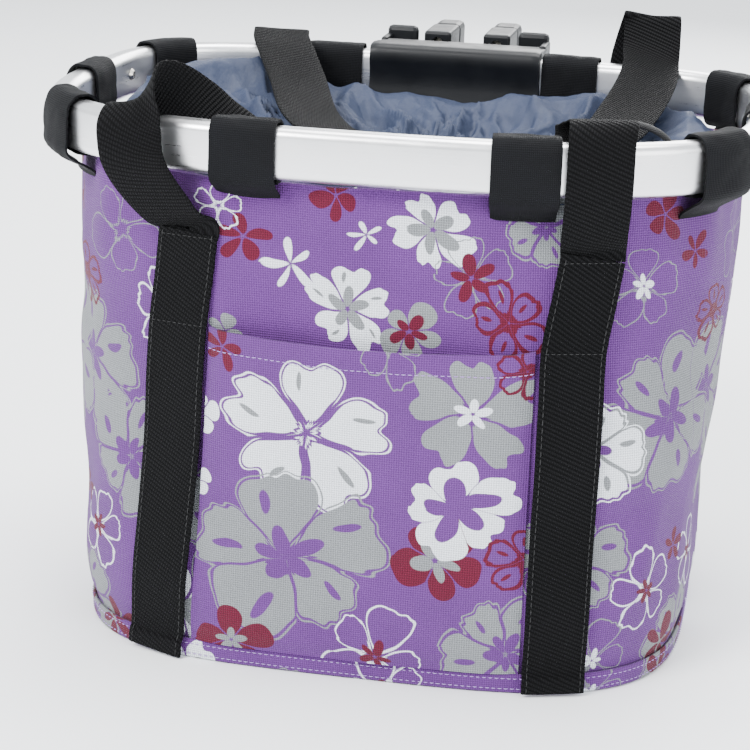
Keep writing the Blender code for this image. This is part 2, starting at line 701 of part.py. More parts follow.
def make_adapter():
    middle = BRACKET_X / MM
    plate_y = RAIL_Y / MM
    clamp_half = CLAMP_WIDTH / MM / 2
    offset = CLAMP_OFFSET / MM
    pieces = [((middle - 41.4, plate_y, 212), (middle + 41.4, 149.9, 262.5), 1.0),
              ((middle - 24, 148, 216), (middle + 24, 164, 257.5), 1.0)]
    for side in (-1, 1):
        centre = middle + side * offset
        pieces.append(((centre - clamp_half, 148, 213.2), (centre + clamp_half, 179.8, 267.8), 1.6))
    body = joined("adapter_body", pieces, plastic())
    bore = Vector((BRACKET_X, BAR_Y, BAR_Z))
    cut_rods(body, [(bore, "X", 70 * MM, BORE_RADIUS, 32)])
    for label, x, z in bolt_places():
        cut_rods(body, [(Vector((x, 170 * MM, z)), "Y", 60 * MM, BOLT_RADIUS + GAP, 12),
                        (Vector((x, 158 * MM, z)), "Y", 12 * MM, 4.6 * MM, 20)])
    cut_blocks(body, (((middle - 7.8, plate_y - 2, 215.4), (middle + 7.8, plate_y + 3, 226.6)),))
    resmooth(body)

    for side, across in ((-1, "left"), (1, "right")):
        centre = middle + side * offset
        cap = joined(f"clamp_cap_{across}", (
            ((centre - clamp_half, 180.2, 213.2), (centre + clamp_half, 201.5, 267.8), 3.0),),
            plastic())
        cut_rods(cap, [(bore, "X", 90 * MM, BORE_RADIUS, 32)])
        for label, x, z in bolt_places():
            if abs(x / MM - centre) < 1:
                cut_rods(cap, [(Vector((x, 190 * MM, z)), "Y", 60 * MM, BOLT_RADIUS + GAP, 12),
                               (Vector((x, 200.5 * MM, z)), "Y", 9.2 * MM, 4.6 * MM, 6)])
        resmooth(cap)
        for facing, half in ((-1, "front"), (1, "rear")):
            rings = []
            for end in (-1, 1):
                x = (centre + end * (clamp_half - 0.5)) * MM
                arc = [math.pi * (0.04 + 0.92 * k / 12) for k in range(13)]
                ring = []
                for radius, run in ((BORE_RADIUS - GAP, arc), (BORE_RADIUS - LINER_THICK, arc[::-1])):
                    ring += [Vector((x, BAR_Y + facing * radius * math.sin(a),
                                     BAR_Z + radius * math.cos(a))) for a in run]
                rings.append(ring)
            skin(f"clamp_liner_{across}_{half}", rings, rubber())

    for label, x, z in bolt_places():
        stations = ((162.6, 2.1), (159.6, 2.1), (159.6, 3.6), (160.2, 4.2), (163.7, 4.2),
                    (163.7, 2.5), (196.2, 2.5))
        skin(f"clamp_screw_{label}", turned_along_y(x, z, stations), steel())
        nut = bmesh.new()
        rod(nut, Vector((x, 198.6 * MM, z)), "Y", 3.6 * MM, 4.2 * MM, 6)
        made = add_bmesh(f"clamp_nut_{label}", nut, steel(), False)
        cut_rods(made, [(Vector((x, 198.6 * MM, z)), "Y", 8 * MM, BOLT_RADIUS + 0.1 * MM, 12)])


def main():
    for old in list(bpy.data.objects):
        bpy.data.objects.remove(old, do_unlink=True)
    make_rim()
    make_loops()
    make_bag()
    make_pocket()
    make_straps()
    make_handles()
    make_cover()
    make_drawstring()
    make_bracket()
    make_adapter()


main()
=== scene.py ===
"""Looks for the handlebar basket: every visible surface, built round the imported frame."""
import math

import bmesh
import bpy
import numpy as np
from mathutils import Matrix, Vector, noise


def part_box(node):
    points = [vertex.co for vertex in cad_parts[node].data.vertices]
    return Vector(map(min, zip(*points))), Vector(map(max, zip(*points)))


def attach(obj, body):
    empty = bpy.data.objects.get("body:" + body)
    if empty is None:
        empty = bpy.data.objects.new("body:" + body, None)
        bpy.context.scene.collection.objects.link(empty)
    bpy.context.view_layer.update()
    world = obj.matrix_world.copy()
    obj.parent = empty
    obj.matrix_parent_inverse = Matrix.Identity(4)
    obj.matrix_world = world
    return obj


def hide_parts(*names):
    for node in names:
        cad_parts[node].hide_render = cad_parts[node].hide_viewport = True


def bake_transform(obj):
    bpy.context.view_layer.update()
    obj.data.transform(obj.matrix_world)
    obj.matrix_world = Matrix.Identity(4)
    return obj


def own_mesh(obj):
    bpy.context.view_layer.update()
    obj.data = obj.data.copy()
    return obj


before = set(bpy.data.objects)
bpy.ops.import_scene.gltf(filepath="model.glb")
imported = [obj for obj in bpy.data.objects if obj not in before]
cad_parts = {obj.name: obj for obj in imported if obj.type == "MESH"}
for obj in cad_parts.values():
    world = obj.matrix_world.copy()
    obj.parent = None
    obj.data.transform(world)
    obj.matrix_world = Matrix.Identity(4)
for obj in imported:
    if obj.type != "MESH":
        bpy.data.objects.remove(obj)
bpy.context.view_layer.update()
MM = 0.001


# ---- camera
def make_camera():
    """The photograph's angle: in front, a little to the right and above the rim."""
    yaw, pitch, roll = math.radians(10.6), math.radians(16.93), math.radians(1.87)
    ahead = Vector((-math.sin(yaw) * math.cos(pitch), math.cos(yaw) * math.cos(pitch),
                    -math.sin(pitch)))
    level = Vector((math.cos(yaw), math.sin(yaw), 0))
    up = level.cross(ahead)
    side = level * math.cos(roll) + up * math.sin(roll)
    top = up * math.cos(roll) - level * math.sin(roll)
    data = bpy.data.cameras.new("camera")
    data.sensor_width = 36
    data.lens = 106.8
    camera = bpy.data.objects.new("camera", data)
    turn = Matrix((side, top, -ahead)).transposed().to_4x4()
    camera.matrix_world = Matrix.Translation((0.1846, -1.0708, 0.4437)) @ turn
    bpy.context.scene.collection.objects.link(camera)
    bpy.context.scene.camera = camera


make_camera()


# ---- node helpers
def arithmetic(operation, swapped=False):
    """A method of Signal that puts in one math node."""
    def apply(self, other=None):
        pair = (other, self) if swapped else (self, other)
        return self.web.math(operation, *pair)
    return apply


class Signal:
    """An output socket, so that shader sums are written as plain arithmetic."""
    __add__, __radd__ = arithmetic("ADD"), arithmetic("ADD", True)
    __sub__, __rsub__ = arithmetic("SUBTRACT"), arithmetic("SUBTRACT", True)
    __mul__, __rmul__ = arithmetic("MULTIPLY"), arithmetic("MULTIPLY", True)
    __truediv__, __rtruediv__ = arithmetic("DIVIDE"), arithmetic("DIVIDE", True)
    __pow__, __rpow__ = arithmetic("POWER"), arithmetic("POWER", True)
    __gt__, __abs__ = arithmetic("GREATER_THAN"), arithmetic("ABSOLUTE")

    def __init__(self, web, socket):
        self.web, self.socket = web, socket


class Inputs:
    """A node's inputs: shader["Roughness"] = 0.5 sets one, or links a signal to it."""

    def __init__(self, web, node):
        self.web, self.node = web, node

    def __setitem__(self, name, value):
        self.web.feed(self.node.inputs[name], value)


class Web:
    """A short way to wire shader nodes in one tree."""

    def __init__(self, tree):
        self.tree = tree

    def put(self, kind, **values):
        node = self.tree.nodes.new(kind)
        for name, value in values.items():
            setattr(node, name, value)
        return node

    def feed(self, socket, value):
        if isinstance(value, Signal):
            self.tree.links.new(value.socket, socket)
        elif value is not None:
            socket.default_value = value

    def node(self, kind, given, output=0, **values):
        """Puts in a node, feeds its inputs in order or by name, and gives one output."""
        made = self.put(kind, **values)
        for key, value in (given.items() if isinstance(given, dict) else enumerate(given)):
            self.feed(made.inputs[key], value)
        return Signal(self, made.outputs[output])

    def math(self, operation, *given, clamp=False):
        return self.node("ShaderNodeMath", given, operation=operation, use_clamp=clamp)

    def vector(self, operation, *given):
        return self.node("ShaderNodeVectorMath", given,
                         "Value" if operation == "LENGTH" else 0, operation=operation)

    def split(self, value):
        outputs = self.node("ShaderNodeSeparateXYZ", [value]).socket.node.outputs
        return [Signal(self, output) for output in outputs]

    def join(self, x, y):
        return self.node("ShaderNodeCombineXYZ", (x, y))

    def mix(self, share, first, second, blend="MIX"):
        return self.node("ShaderNodeMix", {0: share, 6: first, 7: second}, 2,
                         data_type="RGBA", blend_type=blend)

    def gray(self, value):
        return self.node("ShaderNodeCombineColor", [value] * 3)

    def noise(self, spot, scale, detail=3.0, rough=0.5, output="Fac"):
        return self.node("ShaderNodeTexNoise", {"Vector": spot, "Scale": scale, "Detail": detail,
                                                "Roughness": rough}, output)

    def span(self, value, low, high, to_low, to_high):
        return self.node("ShaderNodeMapRange", (value, low, high, to_low, to_high))

    def place(self):
        """The object's own coordinates, in metres."""
        return Signal(self, self.put("ShaderNodeTexCoord").outputs["Object"])

    def wave(self, along, pitch):
        """0 to 1 and back once each pitch of a length in metres."""
        return self.math("SINE", along * (2 * math.pi / pitch)) * 0.5 + 0.5

    def bump(self, height, distance, strength=1.0, under=None):
        return self.node("ShaderNodeBump", {"Strength": strength, "Distance": distance,
                                            "Height": height, "Normal": under})


MATERIALS = {}


def principled(name, build):
    """A material made once: build(web, shader) wires it."""
    if name not in MATERIALS:
        made = bpy.data.materials.new(name)
        made.use_nodes = True
        web = Web(made.node_tree)
        build(web, Inputs(web, made.node_tree.nodes["Principled BSDF"]))
        MATERIALS[name] = made
    return MATERIALS[name]


def material(build):
    """Turns build(web, shader) into a call that gives its one material."""
    return lambda: principled(build.__name__, build)


def cloth_spot(web):
    """The surface's own coordinates, in metres along its cloth."""
    return web.node("ShaderNodeUVMap", (), uv_map="cloth")


# ---- the print
PURPLE = (0.098, 0.026, 0.165, 1)
GREY = (0.185, 0.195, 0.205, 1)
WHITE = (0.66, 0.69, 0.74, 1)
CRIMSON = (0.088, 0.0015, 0.0165, 1)
EDGE = 0.00016                      # half the soft edge of a printed shape

# A printed flower's inputs. Widths and reaches are shares of its radius.
FLOWER_FIELDS = {
    "Under": PURPLE, "Spot": (0, 0, 0), "Centre": (0, 0, 0), "Radius": 0.03, "Turn": 0.0,
    "Petals": 5.0, "Width": 0.36, "Reach": 0.40, "Notch": 0.0, "Ruffle": 0.0, "Gap": 0.0,
    "Fill": WHITE, "Filled": 1.0, "Line": WHITE, "Lined": 0.0, "Offset": 0.0,
    "Weight": 0.0007, "Mark": PURPLE, "Mark Far": 0.62, "Mark Long": 0.0, "Mark Wide": 0.05,
    "Mark Side": 0.1, "Heart": WHITE, "Heart Size": 0.0}


def flower_group():
    """One printed flower over what is under it, in metres on the cloth."""
    tree = bpy.data.node_groups.new("printed_flower", "ShaderNodeTree")
    for name, value in FLOWER_FIELDS.items():
        size = len(value) if isinstance(value, tuple) else 1
        kind = {4: "NodeSocketColor", 3: "NodeSocketVector", 1: "NodeSocketFloat"}[size]
        socket = tree.interface.new_socket(name, in_out="INPUT", socket_type=kind)
        socket.default_value = value
    tree.interface.new_socket("Color", in_out="OUTPUT", socket_type="NodeSocketColor")
    web = Web(tree)
    given = {socket.name: Signal(web, socket) for socket in web.put("NodeGroupInput").outputs}
    radius = given["Radius"]

    def cover(edge):
        return web.span(edge, -EDGE, EDGE, 0.0, 1.0)

    def oval(far, side, long, wide, waist=1.0):
        """Metres inside an oval that lies along the petal, sizes as shares of the radius."""
        x = (along - far * radius) / (long * radius)
        narrow = wide * waist * radius
        y = (beside - side * radius) / narrow
        reach = web.vector("LENGTH", web.join(x, y))
        return (1.0 - reach) * narrow

    x, y, _ = web.split(web.vector("SUBTRACT", given["Spot"], given["Centre"]))
    distance = web.vector("LENGTH", web.join(x, y))
    angle = web.math("ARCTAN2", y, x) + given["Turn"]
    angle = angle + web.math("SINE", angle * 2.0) * 0.09
    turns = angle / (2 * math.pi) * given["Petals"]
    within = web.math("FRACT", turns + 50.0) - 0.5
    sector = 2 * math.pi / given["Petals"]
    lean = within * sector
    petal_seed = web.math("FLOOR", turns) * 2.4 + given["Turn"] * 7.0
    grown = web.math("SINE", petal_seed) * 0.1 + 0.98
    reached = distance / grown
    along = reached * web.math("COSINE", lean)
    beside = reached * web.math("SINE", lean)
    outness = along / radius
    waist = web.math("MAXIMUM", outness * 0.75 + 0.52, 0.3)
    far = 1.0 - given["Reach"]
    petal = oval(far, 0.0, given["Reach"], given["Width"], waist)
    tip = beside / (radius * 0.13)
    tip = 2.718 ** (tip * tip * -1.0)
    bite = tip * given["Notch"] * radius
    outer = along > radius * 0.55
    petal = petal - bite * outer
    sway = web.math("SINE", angle * 7.0) * 2.2
    frill = web.math("SINE", angle * 23.0 + sway)
    frill = frill * given["Ruffle"] * radius
    petal = petal + frill
    seam = sector / 2.0 - abs(lean)
    seam = distance * web.math("SINE", seam) - given["Gap"]
    shape = web.math("MINIMUM", petal, seam)
    colour = web.mix(cover(shape) * given["Filled"], given["Under"], given["Fill"])
    mark = oval(given["Mark Far"], given["Mark Side"], given["Mark Long"], given["Mark Wide"])
    marked = cover(mark) * cover(shape)
    marked = marked * (given["Mark Long"] > 0.001)
    colour = web.mix(marked, colour, given["Mark"])
    rim = abs(petal + given["Offset"])
    line = given["Weight"] / 2.0 - rim
    line = web.math("MINIMUM", line, seam + given["Offset"])
    colour = web.mix(cover(line) * given["Lined"], colour, given["Line"])
    heart_far = given["Heart Size"] * 0.55
    heart_long = web.math("MAXIMUM", given["Heart Size"] * 0.45, 0.001)
    heart_wide = web.math("MAXIMUM", given["Heart Size"] * 0.24, 0.001)
    heart = oval(heart_far, 0.0, heart_long, heart_wide)
    has_heart = given["Heart Size"] > 0.01
    colour = web.mix(cover(heart) * has_heart, colour, given["Heart"])
    web.feed(web.put("NodeGroupOutput").inputs[0], colour)
    return tree


def flower(x, y, radius, turn, **fields):
    """A flower's place and inputs; mark_far=0.6 sets the input Mark Far."""
    named = {name.replace("_", " ").title(): value for name, value in fields.items()}
    return {"at": (x, y), "Radius": radius * MM, "Turn": turn, **named}


def hibiscus(x, y, radius, turn, fill=GREY, mark=PURPLE, line=GREY):
    return flower(x, y, radius, turn, width=0.40, reach=0.42, notch=0.09, ruffle=0.020,
                  gap=0.0008, fill=fill, line=line, lined=1.0, offset=0.0016, weight=0.0008,
                  mark=mark, mark_far=0.66, mark_long=0.15, mark_wide=0.055, mark_side=0.10,
                  heart=PURPLE, heart_size=0.36)


def bloom(x, y, radius, turn, fill=WHITE, heart=GREY, size=0.55, mark_long=0.0):
    return flower(x, y, radius, turn, width=0.35, reach=0.42, notch=0.17, ruffle=0.010,
                  gap=0.0004, fill=fill, heart=heart, heart_size=size, mark=heart,
                  mark_long=mark_long, mark_far=0.68, mark_wide=0.035, mark_side=0.12)


def small(x, y, radius, turn, fill=CRIMSON, heart=WHITE, size=0.0, width=0.24):
    return flower(x, y, radius, turn, width=width, reach=0.46, gap=0.0003, fill=fill,
                  heart=heart, heart_size=size)


def drawn(x, y, radius, turn, line=WHITE, heart=CRIMSON, size=0.32, weight=0.9, mark=0.0):
    return flower(x, y, radius, turn, width=0.36, reach=0.42, notch=0.06, ruffle=0.014,
                  filled=0.0, line=line, lined=1.0, weight=weight * MM, heart=heart,
                  heart_size=size, mark=line, mark_long=mark, mark_wide=0.06, mark_side=0.0)


# Each flower's place is in millimetres on the cloth: x from the front's middle, y up.
WALL_PRINT = (
    hibiscus(-150, 138, 36, 0.4), drawn(-152, 176, 15, 0.2, CRIMSON, CRIMSON, 0.3, 1.6, 0.2),
    drawn(-118, 205, 24, 0.9, GREY, GREY, 0.0, 0.5), drawn(-146, 54, 20, 0.5),
    hibiscus(-160, 14, 27, 1.0), hibiscus(-118, 96, 30, 2.0), small(-134, 8, 12, 0.1),
    small(-56, 207, 12.5, 0.3), drawn(-66, 222, 12, 0.5, WHITE, GREY, 0.0, 0.7),
    small(-12, 231, 12, 0.9, size=0.0, width=0.3), small(2, 214, 8, 0.2, WHITE, width=0.16),
    small(-33, 197, 14, 2.6, WHITE, width=0.15), small(-64, 163, 9, 0.7, GREY, width=0.3),
    bloom(-5, 181, 21, 0.5, WHITE, GREY, 0.5, 0.12), bloom(32, 217, 19, 1.1, WHITE, GREY, 0.62),
    drawn(50, 198, 19, 0.1, GREY, CRIMSON, 0.62, 0.5), small(24, 169, 15, 0.8, GREY, CRIMSON, 0.6,
                                                             0.34),
    drawn(68, 180, 18, 1.2, CRIMSON, CRIMSON, 0.25, 1.8, 0.16), hibiscus(84, 222, 17, 0.8),
    drawn(128, 192, 20, 0.3, GREY, WHITE, 0.3, 0.5), small(140, 226, 12, 0.5, width=0.32),
    hibiscus(146, 131, 38, 0.9), drawn(138, 49, 21, 1.4), small(162, 66, 9, 0.4),
    small(160, 208, 10, 1.0), hibiscus(98, 66, 27, 0.3), small(160, 14, 16, 0.6),
    drawn(112, 16, 20, 0.7, GREY, WHITE, 0.3, 0.6), hibiscus(108, 120, 24, 1.9, WHITE, GREY,
                                                             WHITE),
    bloom(-92, 26, 24, 0.3), small(-92, 132, 15, 0.2), drawn(-96, 170, 18, 1.5),
    hibiscus(-48, 60, 44, 0.5), bloom(-20, 120, 34, 0.2), small(40, 66, 20, 0.4),
    bloom(52, 130, 27, 0.7, GREY, WHITE), drawn(12, 20, 22, 0.1))

POCKET_PRINT = (
    bloom(53, 138, 29.5, 0.3, GREY, WHITE, 0.32), drawn(16, 166, 18, 0.6, GREY, GREY, 0.0, 0.5),
    drawn(76, 158, 13, 0.6, CRIMSON, CRIMSON, 0.3, 1.4),
    {**bloom(-22, 122, 39, 0.42, WHITE, GREY, 0.0, 0.13), "Lined": 1.0, "Offset": 0.0013,
     "Weight": 0.0008, "Gap": 0.0020, "Notch": 0.17},
    hibiscus(-31, 61, 45, 0.2), small(-64, 157, 10, 0.5), small(-76, 124, 12, 0.3, WHITE,
                                                                width=0.4),
    small(40, 67, 21.5, 0.85, CRIMSON, GREY, 0.55, 0.38),
    {**bloom(49, 92, 25, 0.15, WHITE, PURPLE, 0.66), "Gap": 0.0001, "Width": 0.42},
    drawn(12, 15, 25, 0.75), small(-56, 13, 20, 0.2, CRIMSON, GREY, 0.4, 0.34),
    hibiscus(72, 22, 28, 1.0), drawn(78, 66, 17, 0.4, CRIMSON, CRIMSON, 0.2, 1.6, 0.16),
    small(-78, 92, 9, 0.1, WHITE, width=0.4))

WALL_TILE = 332 * MM                # the print repeats this often round the bag
CELL = 83 * MM                      # a cloth material draws the flowers near one cell


def near_cell(flower, cell, tile):
    """The flower's places, in this cell or close to it, counting the repeats."""
    spots = []
    reach = flower["Radius"] * 1.15 + 0.002
    for shift in ((-tile, 0.0, tile) if tile else (0.0,)):
        x, y = flower["at"][0] * MM + shift, flower["at"][1] * MM
        low_x, low_y = cell[0] * CELL, cell[1] * CELL
        if low_x - reach < x < low_x + CELL + reach and low_y - reach < y < low_y + CELL + reach:
            spots.append((x, y, 0.0))
    return spots


def print_colour(web, spot, flowers, cell, tile, under):
    """The printed colour at a spot of the cloth."""
    group = bpy.data.node_groups.get("printed_flower") or flower_group()
    colour = under
    for flower in flowers:
        for centre in near_cell(flower, cell, tile):
            given = {"Under": colour, "Spot": spot, "Centre": centre, **flower}
            del given["at"]
            colour = web.node("ShaderNodeGroup", given, node_tree=group)
    return colour


WEAVE = 1.55 * MM                   # pitch of the coarse plain weave


def weave_height(web, spot, pitch=WEAVE):
    """A plain weave's threads, 0 in the holes to 1 on the crowns."""
    x, y, _ = web.split(spot)
    ups = web.math("SINE", (x + y) * (math.pi / pitch * 1.41))
    downs = web.math("SINE", (x - y) * (math.pi / pitch * 1.41))
    return ups * downs * 0.5 + 0.5


def cloth_shader(web, shader, colour, spot):
    """Finishes a printed cloth: threads, slight fading, a soft sheen."""
    height = weave_height(web, spot)
    fade = web.noise(spot, 28.0, 4.0, 0.6)
    shade = web.span(height, 0.0, 1.0, 0.6, 1.24) * web.span(fade, 0.3, 0.7, 0.93, 1.05)
    shader["Base Color"] = web.mix(1.0, colour, web.gray(shade), "MULTIPLY")
    shader["Roughness"] = web.span(height, 0.0, 1.0, 0.92, 0.68)
    shader["Specular IOR Level"] = 0.2
    shader["Sheen Weight"] = 0.08
    shader["Sheen Roughness"] = 0.5
    grain = web.noise(spot, 900.0, 2.0)
    bumped = web.bump(height + grain * 0.35, 0.0004, 0.9)
    shader["Normal"] = bumped


def printed(name, flowers, cell, tile):
    """The print cloth over one cell, a little distorted as a hand-drawn print is."""
    def build(web, shader):
        spot = cloth_spot(web)
        where = spot
        if tile:
            x, y, _ = web.split(spot)
            where = web.join(web.math("WRAP", x, tile / 2, -tile / 2), y)
        drift = web.noise(spot, 34.0, 1.5, output="Color")
        shift = web.vector("SUBTRACT", drift, (0.5, 0.5, 0.5))
        shift = web.vector("MULTIPLY", shift, (0.0115, 0.0115, 0.0))
        where = web.vector("ADD", where, shift)
        mottle = web.noise(spot, 14.0, 3.0)
        under = web.mix(mottle, (0.086, 0.022, 0.145, 1), (0.11, 0.03, 0.185, 1))
        colour = print_colour(web, where, flowers, cell, tile, under)
        cloth_shader(web, shader, colour, spot)
    return principled(f"{name}_{cell[0]}_{cell[1]}", build)


# ---- other materials
@material
def black_webbing(web, shader):
    """Coarse ribbed webbing: slanting ribs across it, on UVs in metres."""
    spot = cloth_spot(web)
    x, y, _ = web.split(spot)
    slant = y + x * 0.45
    ribs = web.wave(slant, 2.1 * MM)
    cross = web.wave(x - y * 0.3, 1.35 * MM)
    height = ribs ** 0.7 * (cross * 0.55 + 0.45)
    fuzz = web.noise(spot, 1500.0, 2.0)
    height = height + fuzz * 0.25
    tone_mask = web.noise(spot, 22.0, 4.0)
    tone = height * web.span(tone_mask, 0.3, 0.7, 0.75, 1.15)
    colour = web.mix(tone, (0.0001, 0.0001, 0.0001, 1), (0.0082, 0.0082, 0.0092, 1))
    shader["Base Color"] = colour
    shader["Roughness"] = web.span(tone_mask, 0.2, 0.8, 0.62, 0.8)
    shader["Specular IOR Level"] = 0.06
    shader["Sheen Weight"] = 0.01
    shader["Sheen Roughness"] = 0.4
    shader["Normal"] = web.bump(height, 0.0012, 1.0)


@material
def loop_fabric(web, shader):
    spot = cloth_spot(web)
    height = weave_height(web, spot, 1.2 * MM)
    tone_mask = web.noise(spot, 40.0, 4.0)
    colour = web.mix(height * tone_mask, (0.0008, 0.0009, 0.0012, 1), (0.0115, 0.012, 0.015, 1))
    shader["Base Color"] = colour
    shader["Roughness"] = web.span(tone_mask, 0.2, 0.8, 0.66, 0.85)
    shader["Specular IOR Level"] = 0.1
    shader["Sheen Weight"] = 0.01
    shader["Normal"] = web.bump(height, 0.0003, 0.9)


@material
def thin_nylon(web, shader):
    """Smooth coated nylon: a very fine weave and a crinkled surface."""
    spot = cloth_spot(web)
    place = web.place()
    fine = weave_height(web, spot, 0.34 * MM)
    crinkle = web.noise(place, 120.0, 5.0, 0.62)
    tone = web.noise(place, 30.0, 3.0)
    colour = web.mix(tone, (0.019, 0.027, 0.056, 1), (0.034, 0.046, 0.086, 1))
    shader["Base Color"] = colour
    shader["Roughness"] = web.span(crinkle, 0.3, 0.7, 0.42, 0.6)
    shader["Specular IOR Level"] = 0.3
    soft = web.bump(crinkle, 0.0016, 0.55)
    shader["Normal"] = web.bump(fine, 0.00008, 0.6, soft)


@material
def satin_aluminium(web, shader):
    """Drawn and clear-anodised tube: long faint lines round it and soft scuffs."""
    spot = cloth_spot(web)
    x, y, _ = web.split(spot)
    stretched = web.join(x * 1.5, y * 420.0)
    lines = web.noise(stretched, 2.4, 5.0, 0.7)
    scuffs = web.noise(spot, 55.0, 5.0, 0.65)
    colour = web.mix(scuffs, (0.8, 0.8, 0.815, 1), (0.9, 0.9, 0.91, 1))
    shader["Base Color"] = colour
    shader["Metallic"] = 1.0
    rough = web.span(lines, 0.3, 0.7, 0.24, 0.36) + web.span(scuffs, 0.45, 0.8, 0.0, 0.09)
    shader["Roughness"] = rough
    shader["Normal"] = web.bump(lines, 0.00006, 0.6)


def moulded(name, dark, light, rough):
    """Moulded plastic or rubber with a fine spark-eroded grain and a painted highlight on its
    sharp edges.
    """
    def build(web, shader):
        place = web.place()
        grain = web.noise(place, 1800.0, 3.0, 0.6)
        scuffs = web.noise(place, 70.0, 5.0, 0.7)
        edges = web.node("ShaderNodeNewGeometry", (), "Pointiness")
        # painted highlight: the sharp convex edges, where Pointiness is high, are lightened in the
        # colour
        tone_mask = web.span(edges, 0.52, 0.62, 0.0, 0.15)
        tone = web.math("ADD", scuffs * 0.6, tone_mask, clamp=True)
        shader["Base Color"] = web.mix(tone, dark, light)
        shader["Roughness"] = web.span(scuffs, 0.3, 0.7, rough, rough + 0.14)
        shader["Specular IOR Level"] = 0.22
        shader["Normal"] = web.bump(grain, 0.00012, 0.5)
    return principled(name, build)


def black_plastic():
    return moulded("black_plastic", (0.0016, 0.0019, 0.0026, 1), (0.0075, 0.0085, 0.011, 1), 0.34)


def clamp_rubber():
    return moulded("clamp_rubber", (0.003, 0.003, 0.003, 1), (0.010, 0.010, 0.010, 1), 0.75)


def grey_board():
    return moulded("grey_board", (0.03, 0.03, 0.033, 1), (0.06, 0.06, 0.065, 1), 0.7)


@material
def nickel(web, shader):
    place = web.place()
    smudge = web.noise(place, 400.0, 4.0)
    shader["Base Color"] = web.mix(smudge, (0.56, 0.53, 0.48, 1), (0.72, 0.69, 0.63, 1))
    shader["Metallic"] = 1.0
    shader["Roughness"] = web.span(smudge, 0.3, 0.7, 0.2, 0.38)
    shader["Normal"] = web.bump(smudge, 0.00004, 0.5)


def thread(name, colour):
    def build(web, shader):
        place = web.place()
        twist = web.noise(place, 2500.0, 2.0)
        dark = (*(c * 0.7 for c in colour[:3]), 1)
        shader["Base Color"] = web.mix(twist, dark, colour)
        shader["Roughness"] = 0.7
        shader["Normal"] = web.bump(twist, 0.0001, 0.8)
    return principled(name, build)


def lilac_thread():
    return thread("lilac_thread", (0.36, 0.22, 0.55, 1))


def black_thread():
    return thread("black_thread", (0.004, 0.004, 0.0045, 1))


@material
def braided_cord(web, shader):
    spot = cloth_spot(web)
    x, y, _ = web.split(spot)
    left = web.wave(x + y, 1.3 * MM)
    right = web.wave(x - y, 1.3 * MM)
    height = web.math("MAXIMUM", left, right)
    shader["Base Color"] = web.mix(height, (0.0008, 0.0008, 0.0009, 1),
                                   (0.01, 0.01, 0.011, 1))
    shader["Roughness"] = 0.6
    shader["Normal"] = web.bump(height, 0.0003, 0.9)


# ---- outlines
def squared(wave, power):
    """Sines or cosines drawn out towards square corners; power 1 leaves them round."""
    return np.sign(wave) * np.abs(wave) ** power


class Outline:
    """A closed plan outline read by its share of the way round: 0 is +X, 0.25 the back."""

    def __init__(self, half_width, front, back, front_power, back_power):
        angles = np.linspace(0, 2 * math.pi, 5761)
        cosine, sine = np.cos(angles), np.sin(angles)
        power = np.where(sine > 0, back_power, front_power)
        depth = np.where(sine > 0, back, front)
        self.x = half_width * MM * squared(cosine, 2 / power)
        self.y = depth * MM * squared(sine, 2 / power)
        steps = np.hypot(np.diff(self.x), np.diff(self.y))
        self.length = steps.sum()
        self.share = np.concatenate([[0], np.cumsum(steps)]) / self.length

    def point(self, share):
        share = np.mod(share, 1.0)
        return np.stack([np.interp(share, self.share, self.x),
                         np.interp(share, self.share, self.y)], -1)

    def outward(self, share):
        along = self.point(np.asarray(share) + 0.003) - self.point(np.asarray(share) - 0.003)
        along = along / np.linalg.norm(along, axis=-1, keepdims=True)
        return np.stack([along[..., 1], -along[..., 0]], -1)


RIM_TOP, RIM_HEIGHT, RIM_THICK = 261.0, 24.0, 12.0
RIM_MID = (RIM_TOP - RIM_HEIGHT / 2) * MM
RIM_LINE = Outline(168, 123, 116, 2.95, 4.2)
BAG_MOUTH = Outline(159, 118.5, 111.5, 2.95, 4.2)
BAG_BASE = Outline(147, 122, 108, 3.6, 3.6)
BAG_TOP = 234.5 * MM
BACK_SEAM = 0.25                    # the share where the bag's cloth is sewn into a ring
BAG_WALL = 1.6 * MM
WEB_WIDTH, WEB_THICK = 30 * MM, 2.0 * MM


def rim_place(share, outward, height):
    """Points beside the rim's centre line; outward and height in millimetres."""
    plan = RIM_LINE.point(share) + RIM_LINE.outward(share) * (np.asarray(outward) * MM)[..., None]
    rise = np.broadcast_to(RIM_MID + np.asarray(height) * MM, plan.shape[:-1])
    return np.concatenate([plan, rise[..., None]], -1)


def wall_place(share, height, outward=0.0):
    """Points off the bag's plain outer face; height and outward in metres."""
    share, height, outward = np.broadcast_arrays(share, height, outward)
    rise = (height / BAG_TOP)[..., None]
    plan = BAG_BASE.point(share) * (1 - rise) + BAG_MOUTH.point(share) * rise
    bulge = 3 * MM * 4 * rise * (1 - rise)
    plan = plan + BAG_MOUTH.outward(share) * (bulge + outward[..., None])
    return np.concatenate([plan, height[..., None]], -1)


def round_shares(count):
    """Shares once round from the back seam, without the seam again at the end."""
    return np.linspace(0, 1, count, endpoint=False) + BACK_SEAM


def seam_to_seam(count):
    return np.linspace(BACK_SEAM, BACK_SEAM + 1, count)


def level_out(shares):
    """The ways straight out of the bag at these shares."""
    return np.concatenate([BAG_MOUTH.outward(shares), np.zeros((len(shares), 1))], 1)


def share_at(line_of, x, front=True):
    """The share at which line_of(shares) has this x, on the front or the back."""
    shares = np.linspace(0.5, 1.0, 1201) if front else np.linspace(0.5, 0.0, 1201)
    return np.interp(x, line_of(shares)[:, 0], shares)


# ---- mesh tools
BODY = "basket"                     # the body that every piece made here rides on


